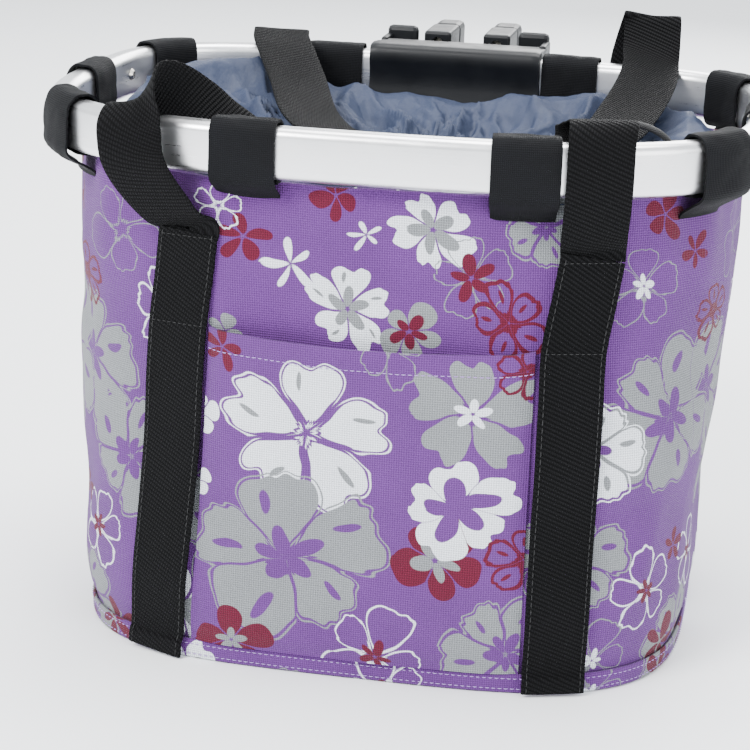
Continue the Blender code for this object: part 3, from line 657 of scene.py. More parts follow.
def finish_piece(name, verts, faces, corner_uvs, finishes, nodes=(), face_slots=None,
                 smooth=40):
    """One mesh piece: its geometry, UVs in metres, finish and place in the frame."""
    mesh = bpy.data.meshes.new(name)
    mesh.from_pydata([tuple(v) for v in verts], [], [tuple(f) for f in faces])
    layer = mesh.uv_layers.new(name="cloth")
    layer.data.foreach_set("uv", np.asarray(corner_uvs, float).reshape(-1))
    for finish in finishes:
        mesh.materials.append(finish)
    if face_slots is not None:
        mesh.polygons.foreach_set("material_index", np.asarray(face_slots, int))
    mesh.validate()
    bm = bmesh.new()
    bm.from_mesh(mesh)
    bmesh.ops.recalc_face_normals(bm, faces=bm.faces)
    bm.to_mesh(mesh)
    bm.free()
    mesh.shade_smooth()
    if smooth:
        mesh.set_sharp_from_angle(angle=math.radians(smooth))
    made = bpy.data.objects.new(name, mesh)
    bpy.context.scene.collection.objects.link(made)
    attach(made, BODY)
    if nodes:
        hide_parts(*nodes)
    return made


def shell_parts(outer, inner, uv, wrap):
    """A closed shell between two grids of points, with a UV for each grid point."""
    rows, cols = outer.shape[:2]
    across = cols if wrap else cols - 1
    i, j = (a.ravel() for a in np.meshgrid(np.arange(rows - 1), np.arange(across), indexing="ij"))
    k = (j + 1) % cols
    front = np.stack([i * cols + j, i * cols + k, (i + 1) * cols + k, (i + 1) * cols + j], 1)
    spots = np.stack([uv[i, j], uv[i, j + 1], uv[i + 1, j + 1], uv[i + 1, j]], 1)
    back = front[:, ::-1] + rows * cols
    faces, uvs = [front, back], [spots, spots[:, ::-1]]
    size = rows * cols
    j = np.arange(across)
    k = (j + 1) % cols
    for row in (0, rows - 1):
        base = row * cols
        faces.append(np.stack([base + j, base + k, base + k + size, base + j + size], 1))
        uvs.append(np.stack([uv[row, j], uv[row, j + 1], uv[row, j + 1], uv[row, j]], 1))
    if not wrap:
        i = np.arange(rows - 1)
        for col in (0, cols - 1):
            faces.append(np.stack([i * cols + col, (i + 1) * cols + col,
                                   (i + 1) * cols + col + size, i * cols + col + size], 1))
            uvs.append(np.stack([uv[i, col], uv[i + 1, col], uv[i + 1, col], uv[i, col]], 1))
    verts = np.concatenate([outer.reshape(-1, 3), inner.reshape(-1, 3)])
    return verts, np.concatenate(faces), np.concatenate(uvs)


def tube_parts(rings, around, along, closed=False):
    """A skin round a row of section rings, with ends unless it is closed."""
    rings = np.asarray(rings)
    rows, cols = rings.shape[:2]
    last = rows if closed else rows - 1
    i, j = (a.ravel() for a in np.meshgrid(np.arange(last), np.arange(cols), indexing="ij"))
    k, n = (j + 1) % cols, (i + 1) % rows
    faces = np.stack([i * cols + j, i * cols + k, n * cols + k, n * cols + j], 1).tolist()
    uvs = np.stack([np.stack([around[j], along[i]], 1), np.stack([around[j + 1], along[i]], 1),
                    np.stack([around[j + 1], along[i + 1]], 1),
                    np.stack([around[j], along[i + 1]], 1)], 1).reshape(-1, 2).tolist()
    if not closed:
        for ring in (0, rows - 1):
            faces.append([ring * cols + c for c in range(cols)])
            uvs += [[around[c], along[ring]] for c in range(cols)]
    return rings.reshape(-1, 3), faces, uvs


def lengths(points, closed=False):
    """Running length along points, from 0."""
    points = np.asarray(points, float)
    steps = np.linalg.norm(np.diff(points, axis=0), axis=1)
    if closed:
        steps = np.append(steps, np.linalg.norm(points[0] - points[-1]))
    return np.concatenate([[0], np.cumsum(steps)])


def smooth_route(points, steps):
    """Catmull-Rom points through a list of points or of longer tuples."""
    rows = [np.array(point, dtype=float) for point in points]
    rows = [2 * rows[0] - rows[1]] + rows + [2 * rows[-1] - rows[-2]]
    route = []
    for i in range(1, len(rows) - 2):
        before, start, end, after = rows[i - 1:i + 3]
        for k in range(steps):
            t = k / steps
            route.append(0.5 * (2 * start + (end - before) * t
                                + (2 * before - 5 * start + 4 * end - after) * t * t
                                + (3 * start - before - 3 * end + after) * t ** 3))
    route.append(rows[-2])
    return np.array(route)


def unit(vectors):
    return vectors / np.linalg.norm(vectors, axis=-1, keepdims=True)


def band(name, route, nodes):
    """A webbing band: each route row is a middle point in metres, then the way across."""
    centre, across = route[:, :3], route[:, 3:]
    along = unit(np.gradient(centre, axis=0))
    facing = unit(np.cross(along, across))
    across = unit(np.cross(facing, along))
    angles = np.linspace(0, 2 * math.pi, 28, endpoint=False)
    x = squared(np.cos(angles), 0.32) * WEB_WIDTH / 2
    y = squared(np.sin(angles), 0.6) * WEB_THICK / 2
    rings = (centre[:, None] + across[:, None] * x[None, :, None]
             + facing[:, None] * y[None, :, None])
    around = lengths(np.stack([x, y], 1), True)
    run = lengths(centre)
    verts, faces, uvs = tube_parts(rings, around, run)
    return finish_piece(name, verts, faces, uvs, [black_webbing()], nodes)


def read_along(rows, run, spot):
    """The row of three numbers at a length along the run."""
    return np.array([np.interp(spot, run, rows[:, column]) for column in range(3)])


def stitches(name, points, outward, finish, pitch=2.9 * MM, gap=0.9 * MM,
             radius=0.26 * MM):
    """A row of sewn stitches: short threads that dip into the cloth at both ends."""
    points, outward = np.asarray(points, float), np.asarray(outward, float)
    run = lengths(points)
    count = max(1, int(run[-1] / pitch))
    verts, faces, flat = [], [], np.zeros(7)
    for n in range(count):
        start = (n + 0.5) * run[-1] / count - (pitch - gap) / 2
        rings = []
        for t in np.linspace(0, 1, 5):
            spot = start + t * (pitch - gap)
            place, out = read_along(points, run, spot), unit(read_along(outward, run, spot))
            ahead = read_along(points, run, spot + 1e-4) - read_along(points, run, spot - 1e-4)
            side = unit(np.cross(unit(ahead), out))
            lift = math.sin(math.pi * t) * radius * 1.5 - radius * 0.6
            slim = radius * (0.55 + 0.45 * math.sin(math.pi * t))
            rings.append([place + out * (lift + slim * math.sin(a)) + side * slim * math.cos(a)
                          for a in np.linspace(0, 2 * math.pi, 6, endpoint=False)])
        spots, skin, _ = tube_parts(rings, flat, flat)
        faces += [[corner + len(verts) for corner in face] for face in skin]
        verts += spots.tolist()
    corners = sum(len(face) for face in faces)
    return finish_piece(name, verts, faces, np.zeros((corners, 2)), [finish])


# ---- rim
def rounded_section(thick, height, corner, per_corner=9):
    points = []
    for turn, (side, end) in enumerate(((1, 1), (-1, 1), (-1, -1), (1, -1))):
        for angle in np.linspace(0, math.pi / 2, per_corner) + math.pi / 2 * turn:
            points.append((side * (thick / 2 - corner) + corner * math.cos(angle),
                           end * (height / 2 - corner) + corner * math.sin(angle)))
    return np.array(points)


def make_rim():
    """The oval tube, hollow, with its two ends meeting at the back."""
    section = rounded_section(RIM_THICK, RIM_HEIGHT, 4.5)
    inner = rounded_section(RIM_THICK - 2.8, RIM_HEIGHT - 2.8, 3.1)
    split = 0.0004 / RIM_LINE.length
    shares = np.linspace(BACK_SEAM + split, BACK_SEAM + 1 - split, 321)
    outside = np.array([rim_place(s, section[:, 0], section[:, 1]) for s in shares])
    inside = np.array([rim_place(s, inner[:, 0], inner[:, 1]) for s in shares])
    run = shares - BACK_SEAM
    run = np.concatenate([run, run[::-1], [0]]) * RIM_LINE.length
    verts, faces, uvs = tube_parts(np.concatenate([outside, inside[::-1]]),
                                   lengths(section, True) * MM, run, closed=True)
    uvs = [(y, x) for x, y in uvs]
    finish_piece("rim_tube_drawn", verts, faces, uvs, [satin_aluminium()],
                 ["rim_tube"])


# ---- loops
# Each loop's name, x in millimetres, whether it is on the front, and how far its outer
# face stands off the rim in millimetres.
LOOP_PLACES = (("front_left", -54.5, True, 0.1), ("front_right", 70.5, True, 0.1),
               ("front_corner_left", -150, True, 1.9), ("front_corner_right", 151, True, 1.7),
               ("side_left", -168, False, 1.2), ("side_right", 168, False, 1.2),
               ("back_corner_left", -152.5, False, 0.8),
               ("back_corner_right", 152.5, False, 1.0),
               ("back_left", -64, False, 0.1), ("back_right", 64, False, 0.1))


def loop_route(stand, slack):
    """The strip's inner face in the section plane, millimetres from the rim's middle."""
    side, half = RIM_THICK / 2 + 0.9, RIM_HEIGHT / 2 + 0.8
    points = ((-7.4, -24.5), (-6.0, -22.0), (-1.5 + stand * 0.3, -18.5),
              (side * 0.85 + stand, -13.0), (side + stand, -5.5), (side + stand * 0.8, 4.0),
              (side + stand * 0.3 - 0.3, 9.3), (side - 2.8, half), (0, half + 0.2 + slack * 0.3),
              (2.8 - side, half), (-side + 0.2, 9.0), (-side - 0.2, 0), (-side, -8.5),
              (2.6 - side, -half + 0.1), (1.2, -half))
    return smooth_route(points, 4)


def make_loops():
    finish = loop_fabric()
    for number, (label, x, front, stand) in enumerate(LOOP_PLACES):
        middle = float(share_at(RIM_LINE.point, x * MM, front))
        reach = WEB_WIDTH / 2 / RIM_LINE.length
        path = loop_route(stand, 1.0)
        along = np.gradient(path, axis=0)
        out = unit(np.stack([along[:, 1], -along[:, 0]], 1))
        columns, inner, outer = 15, [], []
        for c in range(columns):
            t = c / (columns - 1) * 2 - 1
            share = middle + reach * t
            edge = 0.25 * (1 - abs(t) ** 6)
            wave = np.array([noise.noise(Vector((t * 1.3, i * 0.22, number * 7.1)))
                             for i in range(len(path))])
            fade = np.clip((np.arange(len(path)) - 3) / 8, 0.15, 1)
            under = path + out * (np.abs(wave) * 0.9 * fade)[:, None]
            face = under + out * (1.05 + edge)
            inner.append(rim_place(share, under[:, 0], under[:, 1]))
            outer.append(rim_place(share, face[:, 0], face[:, 1]))
        uv = np.zeros((columns, len(path), 2))
        uv[..., 0] = np.linspace(0, WEB_WIDTH, columns)[:, None]
        uv[..., 1] = (lengths(path) * MM)[None]
        verts, faces, uvs = shell_parts(np.array(outer), np.array(inner), uv, False)
        finish_piece(f"cloth_loop_{label}", verts, faces, uvs, [finish],
                     [f"rim_loop_{label}"])


# ---- bag
def soft_noise(points, scale, seed):
    return np.array([noise.noise(Vector(p) * scale + Vector((seed, seed * 1.7, seed * 0.3)))
                     for p in points.reshape(-1, 3)]).reshape(points.shape[:-1])


def near(value, middle, width):
    return np.exp(-((value - middle) / width) ** 2)


def crease(x, z, at, run, lean, wide):
    """A soft drag line in the front's cloth, millimetres, 0 to 1."""
    across = (z - at[1]) - lean * (x - at[0])
    along = (x - at[0]) + lean * (z - at[1])
    return near(across, 0, wide) * near(along, 0, run)


# On the front: the middle of each drag line, its half length, slope, width and height.
DRAG_LINES = (((-58, 216), 34, -0.75, 7, 2.0), ((-46, 205), 30, -0.62, 6, -1.8),
              ((-30, 222), 26, -0.35, 6, 1.3), ((62, 214), 30, 0.70, 7, 1.9),
              ((50, 200), 26, 0.55, 6, -1.6), ((24, 226), 22, 0.30, 6, 1.1),
              ((-125, 205), 26, 0.9, 8, 2.0), ((-134, 168), 30, 0.5, 9, -1.6),
              ((134, 210), 24, -0.9, 8, 2.0), ((140, 150), 34, -0.4, 10, -1.8),
              ((120, 100), 36, 0.7, 10, 1.6), ((-124, 92), 36, -0.7, 10, 1.6),
              ((0, 186), 46, 0.08, 9, -1.4), ((-10, 24), 70, 0.03, 10, 1.2))


def bag_relief(share, height):
    """How far the hanging cloth stands in or out of the plain wall, in metres."""
    plain = wall_place(share, height)
    x, y = plain[..., 0] / MM, plain[..., 1] / MM
    z = np.broadcast_to(height, x.shape) / MM
    top = np.clip((z - 110) / 125, 0, 1) ** 1.7
    run = share * 2 * math.pi
    sway = soft_noise(plain, 9.0, 41.0) * 1.5
    pleats = (np.sin(run * 15 + 0.6 + sway) * 1.1 + np.sin(run * 31 + 1.9 + sway) * 0.6) * top
    broad = soft_noise(plain, 11.0, 3.3) * 5.0 + soft_noise(plain, 27.0, 9.1) * 2.4
    broad += (ridges(soft_noise(plain * [1, 1, 0.55], 21.0, 27.0), 2.6) - 0.35) * 1.7
    front = np.clip((-y - 40) / 30, 0, 1)
    drag = sum(crease(x, z, *line[:4]) * line[4] for line in DRAG_LINES) * front
    seam = -1.5 * near(np.abs(x), 80, 6) * front * np.clip(z / 200, 0, 1)
    belly = 2.2 * near(z, 34, 26) - 1.2 * near(z, 10.5, 4.5)
    joint = np.mod(share - BACK_SEAM + 0.5, 1.0) - 0.5
    seam = seam - 0.9 * near(joint, 0, 0.0016) + 0.35 * near(np.abs(joint), 0.0034, 0.0016)
    relief = pleats + broad * np.clip(z / 50, 0.15, 1) * 0.85 + drag + seam + belly
    return np.clip(relief, -5, 6) * np.clip((z - 2) / 12, 0, 1) * MM


def ridges(value, sharp=3.2):
    """Folds out of smooth noise: 1 on a crease's crest, 0 in the hollows."""
    return np.clip(1 - np.abs(value) * sharp, 0, 1)


COLUMNS, ROWS = 360, 76


def cloth_u(share):
    """Metres round the bag from the front's middle."""
    return (np.asarray(share) - 0.75) * BAG_MOUTH.length


def cell_slots(uv, flowers, prefix, tile):
    """A material for each print cell that the faces touch, and each face's slot."""
    middle = uv.reshape(-1, 4, 2).mean(axis=1)
    x = middle[:, 0]
    if tile:
        x = np.mod(x + tile / 2, tile) - tile / 2
    cells = np.stack([np.floor(x / CELL), np.floor(middle[:, 1] / CELL)], 1).astype(int)
    kinds = sorted({tuple(cell) for cell in cells.tolist()})
    finishes = [printed(prefix, flowers, cell, tile) for cell in kinds]
    lookup = {cell: number for number, cell in enumerate(kinds)}
    return finishes, [lookup[tuple(cell)] for cell in cells.tolist()]


def bag_layer(columns, heights, inset, thick):
    """One layer of the hanging bag: a closed shell with UVs in metres."""
    share, height = np.broadcast_arrays(round_shares(columns)[None], heights[:, None])
    relief = bag_relief(share, height) - inset
    uv = np.stack(np.broadcast_arrays(cloth_u(seam_to_seam(columns + 1))[None],
                                      heights[:, None]), -1)
    return shell_parts(wall_place(share, height, relief),
                       wall_place(share, height, relief - thick), uv, True)


def make_bag():
    verts, faces, uvs = bag_layer(COLUMNS, np.linspace(1.9 * MM, BAG_TOP, ROWS), 0, BAG_WALL)
    finishes, slots = cell_slots(uvs, WALL_PRINT, "wall_print", WALL_TILE)
    finish_piece("bag_cloth", verts, faces, uvs, finishes, ["bag_wall"], slots)
    rise = np.linspace(14 * MM, 224 * MM, 90)
    for label, side in (("left", -1), ("right", 1)):
        line = np.full_like(rise, BACK_SEAM - side * 3.4 * MM / BAG_MOUTH.length)
        points = wall_place(line, rise, bag_relief(line, rise) + 0.1 * MM)
        stitches(f"back_seam_stitches_{label}", points, level_out(line),
                 lilac_thread())


def make_lining():
    verts, faces, uvs = bag_layer(180, np.linspace(2 * MM, 226 * MM, 40), 2.6 * MM, 0.6 * MM)
    finish_piece("bag_lining_cloth", verts, faces, uvs, [thin_nylon()], ["bag_lining"])


def ring_band(name, low, high, near_off, far_off, follow, node):
    """A narrow band of print cloth round the bag, with rounded long edges."""
    angles = np.linspace(0, 2 * math.pi, 18, endpoint=False)
    height = (low + high) / 2 + squared(np.cos(angles), 0.35) * (high - low) / 2
    off = (near_off + far_off) / 2 + squared(np.sin(angles), 0.7) * (far_off - near_off) / 2
    share, height, off = np.broadcast_arrays(round_shares(300)[:, None], height[None], off[None])
    wobble = soft_noise(wall_place(share, height * 0 + low), 60.0, 5.0) * 0.35 * MM
    base = bag_relief(share, height * 0 + (low + high) / 2) if follow else 0.0
    rings = wall_place(share, height + wobble * 0.5, off + base + wobble)
    around = lengths(np.stack([height[0], off[0]], 1), True)
    verts, faces, uvs = tube_parts(rings, around, cloth_u(seam_to_seam(301)), closed=True)
    uvs = np.array([(y, x + 0.004) for x, y in uvs])
    finishes, slots = cell_slots(uvs, WALL_PRINT, "wall_print", WALL_TILE)
    finish_piece(name, verts, faces, uvs, finishes, [node], slots)


def make_bindings():
    ring_band("bottom_binding_cloth", 0.0, 9.6 * MM, 0.3 * MM, 2.2 * MM, False,
              "bottom_binding")
    ring_band("mouth_binding_cloth", 226.5 * MM, 234.6 * MM, -3.4 * MM, -1.9 * MM, True,
              "mouth_binding")
    shares = seam_to_seam(500)
    for label, height in (("upper", 7.4 * MM), ("lower", 2.2 * MM)):
        stitches(f"binding_stitches_{label}", wall_place(shares, height, 2.25 * MM),
                 level_out(shares), lilac_thread())


FLOOR_TOP = 1.35 * MM


def make_floor_panel():
    """The bag's bottom: one print panel, quilted a little by the board above it."""
    across, deep = np.meshgrid(np.linspace(-1, 1, 121), np.linspace(-1, 1, 121))
    reach = np.maximum(np.abs(across), np.abs(deep))
    edge = wall_place(np.arctan2(deep, across) / (2 * math.pi), 0.0, -0.2 * MM)[..., :2]
    centre = np.array([0.0, (BAG_BASE.y.max() + BAG_BASE.y.min()) / 2])
    plan = centre + (edge - centre) * reach[..., None]
    flat = np.concatenate([plan, plan[..., :1] * 0], -1)
    hollow = np.clip((1 - reach) / 0.06, 0, 1) * (0.45 + 0.35 * soft_noise(flat, 16.0, 43.0))
    under = np.concatenate([plan, (hollow * MM)[..., None]], -1)
    top = np.concatenate([plan, np.full_like(plan[..., :1], FLOOR_TOP)], -1)
    uv = plan + np.array([0.0, -BAG_BASE.y.min()])
    verts, faces, uvs = shell_parts(top, under, uv, False)
    finishes, slots = cell_slots(uvs, WALL_PRINT, "wall_print", WALL_TILE)
    finish_piece("bag_floor_cloth", verts, faces, uvs, finishes, ["bag_floor"],
                 slots)


# ---- pocket
POCKET_TOP = 166 * MM


def pocket_place(across, height):
    """A point of the pocket: across from -1 to 1 between its seams."""
    x = 79 * MM * across + np.maximum(0, -across) * 8.5 * MM * height / POCKET_TOP
    share = np.array([[float(share_at(lambda s: wall_place(s, h, 0.0), px))
                       for px, h in zip(xs, hs)] for xs, hs in zip(x, height)])
    return share, x


def make_pocket():
    columns, rows = 84, 80
    across, level = np.meshgrid(np.linspace(-1, 1, columns), np.linspace(0, 1, rows))
    low = 9.8 * MM
    dip = 2.2 * MM * (1 - across ** 2) * level
    height = low + (POCKET_TOP - low) * level - dip
    share, x = pocket_place(across, height)
    bow = np.clip(1 - across ** 2, 0, 1) ** 0.7 * level ** 1.1 * 5.6 * MM
    plain = wall_place(share, height)
    ripple = soft_noise(plain, 17.0, 21.0) * 1.6 + soft_noise(plain, 45.0, 4.0) * 0.5
    ripple *= np.clip(1 - across ** 6, 0, 1)
    hem = 0.5 * near(height, POCKET_TOP - 11 * MM, 1.2 * MM)
    off = 2.9 * MM * np.clip(1 - np.abs(across) ** 12, 0.25, 1) + bow + (ripple - hem) * MM * 0.7
    off = np.maximum(off, 0.7 * MM)
    relief = bag_relief(share, height)
    off = off + np.clip(relief, -1 * MM, 3 * MM) * 0.7
    doubled = 0.5 * MM * (height > POCKET_TOP - 11 * MM)
    face = wall_place(share, height, off + 0.9 * MM + doubled)
    back = wall_place(share, height, off)
    uv = np.stack([x, height], -1)
    verts, faces, uvs = shell_parts(face, back, uv, False)
    finishes, slots = cell_slots(uvs, POCKET_PRINT, "pocket_print", None)
    finish_piece("pocket_cloth", verts, faces, uvs, finishes, ["front_pocket"],
                 slots)
    row = int(np.argmin(np.abs(height[:, columns // 2] - (POCKET_TOP - 12.2 * MM))))
    outward = level_out(share[row])
    stitches("pocket_stitches", face[row] + outward * 0.1 * MM, outward,
             lilac_thread())


# ---- webbing
# Each strap's x in millimetres at its foot, at the pocket's top and where its sewing
# ends, and whether it is on the front.
STRAPS = {"strap_front_left": ((-95.5, -85.5, -81.5), True),
          "strap_front_right": ((94.3, 95, 101), True),
          "strap_rear_left": ((-96, -97, -97), False), "strap_rear_right": ((96, 97, 97), False)}
SEW_TOP = 209 * MM


def seat_on_bag(x, height, front, lift):
    """A band row (middle, then across) lying on the bag at an x in metres."""
    line = lambda s: wall_place(s, height, 0.0)
    share = float(share_at(line, x, front))
    relief = float(bag_relief(np.array([share]), np.array([height]))[0])
    centre = wall_place(share, height, relief * 0.6 + lift)
    sides = [wall_place(float(share_at(line, x + step, front)), height, 0.0)
             for step in (-0.014, 0.014)]
    return np.concatenate([centre, unit(sides[1] - sides[0])])


def strap_rows(places, front, heights):
    rows = []
    for height in heights:
        x = np.interp(height, (0, POCKET_TOP, SEW_TOP), places) * MM
        lift = 4.9 * MM if height < 11 * MM else 3.4 * MM
        rows.append(seat_on_bag(x, height, front, lift))
    return rows


def make_straps():
    for name, (places, front) in STRAPS.items():
        heights = (1.5 * MM, 8 * MM, 14 * MM, 40 * MM, 75 * MM, 110 * MM, 140 * MM, 166 * MM,
                   188 * MM, SEW_TOP)
        route = smooth_route(strap_rows(places, front, heights), 10)
        band(f"{name}_webbing", route, [name])
        outward = unit(np.cross(np.gradient(route[:, :3], axis=0), route[:, 3:]))
        outward *= -np.sign(outward[:, 1:2]) * (1 if front else -1)
        for side in (-1, 1):
            edge = route[:, :3] + unit(route[:, 3:]) * side * 12.7 * MM + outward * 0.95 * MM
            stitches(f"{name}_stitches_{'left' if side < 0 else 'right'}", edge, outward,
                     black_thread(), pitch=3.6 * MM)
        for label, height in (("pocket", POCKET_TOP), ("sewn", SEW_TOP - 3 * MM)):
            row = int(np.argmin(np.abs(route[:, 2] - height)))
            way = unit(route[row, 3:])
            spots = route[row, :3] + way * np.linspace(-13.6, 13.6, 24)[:, None] * MM
            stitches(f"{name}_cross_{label}", spots + outward[row] * 1.0 * MM,
                     np.repeat(outward[row][None], 24, 0), black_thread(),
                     pitch=2.6 * MM)


def route_rows(points):
    rows = np.array(points, float)
    rows[:, :3] *= MM
    return rows


# The free part of each handle: middle points in millimetres, then the way across it.
FRONT_FREE = (
    (-90, -122.5, 218.5, 0.95, -0.28, 0.22), (-100, -128, 232.6, 0.98, -0.15, 0.15),
    (-104.6, -131, 243, 1, -0.05, 0.1), (-106, -131.5, 252, 1, 0, 0.15),
    (-106, -131, 260.4, 0.95, 0, 0.35), (-103.9, -126.5, 268.4, 0.78, 0.1, 0.62),
    (-99, -118.5, 271.8, 0.58, 0.3, 0.75), (-91.5, -110, 269.5, 0.42, 0.5, 0.7),
    (-81.3, -102, 263, 0.36, 0.72, 0.5), (-70, -95, 255, 0.36, 0.86, 0.25),
    (-55, -88, 247, 0.35, 0.93, 0.1),
    (-36, -81, 240.5, 0.3, 1, 0.1), (0, -75, 236, 0, 1, 0),
    (44, -76, 237, -0.2, 1, 0), (72, -80, 242.5, -0.7, 0.8, 0), (88, -86, 251, -1, 0.4, 0),
    (97, -94, 261, -1, 0.1, 0), (101, -103, 268, -1, -0.1, 0), (103, -112.5, 270.5, -1, -0.25, 0),
    (103.5, -119.8, 267.5, -0.95, -0.3, 0), (103.5, -122.2, 258, -0.95, -0.3, 0),
    (103.5, -121.8, 245, -0.95, -0.3, 0), (103, -119.4, 232, -0.95, -0.3, 0),
    (102, -115.5, 220, -0.95, -0.3, 0))
REAR_FREE = (
    (-97, 117.5, 224, 1, -0.08, 0), (-97, 121.6, 238, 1, -0.1, 0), (-96.8, 122.2, 252, 1, -0.1, 0),
    (-96.3, 121, 262, 1, -0.1, 0), (-95, 114, 268.5, 1, 0, 0), (-92, 101, 266.5, 1, 0.1, 0),
    (-84, 82, 261, 1, 0.2, 0), (-72, 55, 252, 1, 0.4, 0), (-55, 12, 242, 0.8, 0.7, 0),
    (-32, -18, 237, 0.4, 1, 0), (0, -30, 235.5, 0, 1, 0), (44, -32, 236.5, -0.2, 1, 0),
    (76, -20, 239, -0.7, 0.8, 0.05), (95, 6, 243, -0.97, 0.3, 0.1),
    (102, 40, 249, -1, 0.1, 0.16), (106.5, 74, 256.5, -1, 0.08, 0.2),
    (107.5, 97, 262.5, -1, 0.06, 0.26), (106.5, 109, 266.5, -1, 0.05, 0.24),
    (106, 116, 271.5, -1, 0.02, 0.14), (105.6, 121.5, 278.5, -1, 0, 0.09),
    (105.2, 124.6, 283.4, -1, 0, 0.08), (104.6, 127.2, 285.2, -1, 0, 0.07),
    (103.6, 129.2, 281.5, -1, 0, 0.05), (101, 128.8, 272, -1, 0.02, 0),
    (98.8, 126.4, 262, -1, 0.05, 0), (97.8, 124, 250, -1, 0.08, 0),
    (97.3, 121.4, 238, -1, 0.1, 0), (97, 117.5, 224, -1, 0.1, 0))


def make_handles():
    for label, free, front in (("front", FRONT_FREE, True), ("rear", REAR_FREE, False)):
        ends = {}
        for side in ("left", "right"):
            x = STRAPS[f"strap_{label}_{side}"][0][2] * MM
            ends[side] = [seat_on_bag(x, height, front, 2.9 * MM)
                          for height in (SEW_TOP - 4 * MM, SEW_TOP + 3 * MM)]
        left, right = ends["left"], ends["right"]
        for row in right:
            row[3:] *= -1
        rows = [left[0], left[1], *route_rows(free), right[1], right[0]]
        rows[0][:3] += (rows[1][:3] - rows[0][:3]) * 0.4
        rows[-1][:3] += (rows[-2][:3] - rows[-1][:3]) * 0.4
        route = smooth_route(rows, 9)
        made = band(f"handle_{label}_webbing", route, [f"handle_{label}"])
        made.parent = None
        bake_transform(made)


# ---- cover
# The cover's height in millimetres, from the bag's mouth at 0 to the gathered hole at 1.
COVER_PROFILE = ((0.0, 231.8), (0.04, 235.5), (0.13, 238.5), (0.25, 237.5), (0.42, 234.0),
                 (0.7, 228.0), (1.0, 221.0))
MOUTH_SCALE = 0.40                  # the hole's size as a share of the bag's mouth
MOUTH_INSET = 4.4 * MM


def make_cover():
    """The thin cover, puffed up under the rim and gathered in round its hole."""
    columns, rows = 460, 120
    share = round_shares(columns)[None]
    inward = np.linspace(0, 1, rows)[:, None]
    share, inward = np.broadcast_arrays(share, inward)
    plan = BAG_MOUTH.point(share) - BAG_MOUTH.outward(share) * MOUTH_INSET
    plan = plan * (1 - inward * (1 - MOUTH_SCALE))[..., None]
    known, heights = zip(*COVER_PROFILE)
    base = np.interp(inward, known, heights) * MM
    run = share * 2 * math.pi
    flat = np.concatenate([plan, base[..., None]], -1)
    bend = soft_noise(flat, 14.0, 2.0) * 0.55
    spokes = np.stack([np.cos(run + bend), np.sin(run + bend), inward * 0.22], -1)
    wide = ridges(soft_noise(spokes, 4.6, 5.0))
    fine = ridges(soft_noise(spokes, 10.5, 11.0))
    thin = ridges(soft_noise(spokes, 22.0, 19.0))
    cross = ridges(soft_noise(flat + bend[..., None] * 0.02, 34.0, 23.0))
    folds = (wide * 11.0 + fine * (1.8 + inward * 4.4) + thin * (0.5 + inward * 3.3)
             + cross * 2.6 - 5.5)
    folds = folds * np.clip(0.45 + inward * 0.9, 0, 1)
    billow = soft_noise(flat, 15.0, 13.0) * 12.0 + soft_noise(flat, 31.0, 17.0) * 3.0
    back = np.clip(plan[..., 1] / 0.10 + 0.25, 0, 1)
    across = plan[..., 0] / MM
    crest = 5 + 19 * near(across, -125, 60) - 5 * near(across, 10, 58)
    puff = near(inward, 0.11, 0.13) * (4.0 * (1 - back) + crest * back)
    puff = puff * (0.8 + 0.8 * soft_noise(flat * [1, 1, 0], 17.0, 31.0))
    edge = np.clip(inward / 0.045, 0, 1) ** 0.8
    shell = near(across, 2, 52) * back * near(inward, 0.08, 0.3)
    rise = (folds + billow * (1 - 0.5 * inward)) * (1 - 0.75 * shell)
    settled = 0.08 + 0.92 * np.clip((1 - inward) / 0.13, 0, 1)
    rise = (rise + puff - 0.5 * shell) * edge * settled
    hidden = np.clip(0.5 + plan[..., 1] / 0.08, 0.55, 1.0)
    top = np.concatenate([plan, (base + rise * hidden * MM)[..., None]], -1)
    keep_under_handles(top)
    cradle_lock(top)
    under = top - np.array([0, 0, 0.5 * MM])
    uv = np.zeros((rows, columns + 1, 2))
    uv[..., 0] = np.linspace(0, BAG_MOUTH.length, columns + 1)[None]
    uv[..., 1] = np.linspace(0, 0.1, rows)[:, None]
    verts, faces, uvs = shell_parts(top, under, uv, True)
    return finish_piece("gathered_cover", verts, faces, uvs, [thin_nylon()],
                        ["drawstring_cover"], smooth=0)


def keep_under_handles(top):
    """Presses the cover's points down where a handle lies on it."""
    flat = top.reshape(-1, 3)
    for free in (FRONT_FREE, REAR_FREE):
        route = smooth_route(route_rows(free), 4)[:, :3]
        inside = route[np.abs(route[:, 1]) < 0.106]
        for point in inside:
            gap = np.hypot(flat[:, 0] - point[0], flat[:, 1] - point[1])
            limit = point[2] - 2.6 * MM + np.clip(gap - 18 * MM, 0, 1) * 1.1
            flat[:, 2] = np.where(gap < 34 * MM, np.minimum(flat[:, 2], limit), flat[:, 2])


def cradle_lock(top):
    """Lifts the cover to just under the cord lock that lies on it."""
    flat = top.reshape(-1, 3)
    lock = np.array([0.1309, np.nan, 0.2469])
    y = np.clip(flat[:, 1], -0.0605, -0.0430)
    gap = np.hypot(flat[:, 0] - lock[0], flat[:, 1] - y)
    lift = near(gap, 0, 15 * MM)
    flat[:, 2] += (lock[2] - 6.9 * MM - flat[:, 2]) * lift


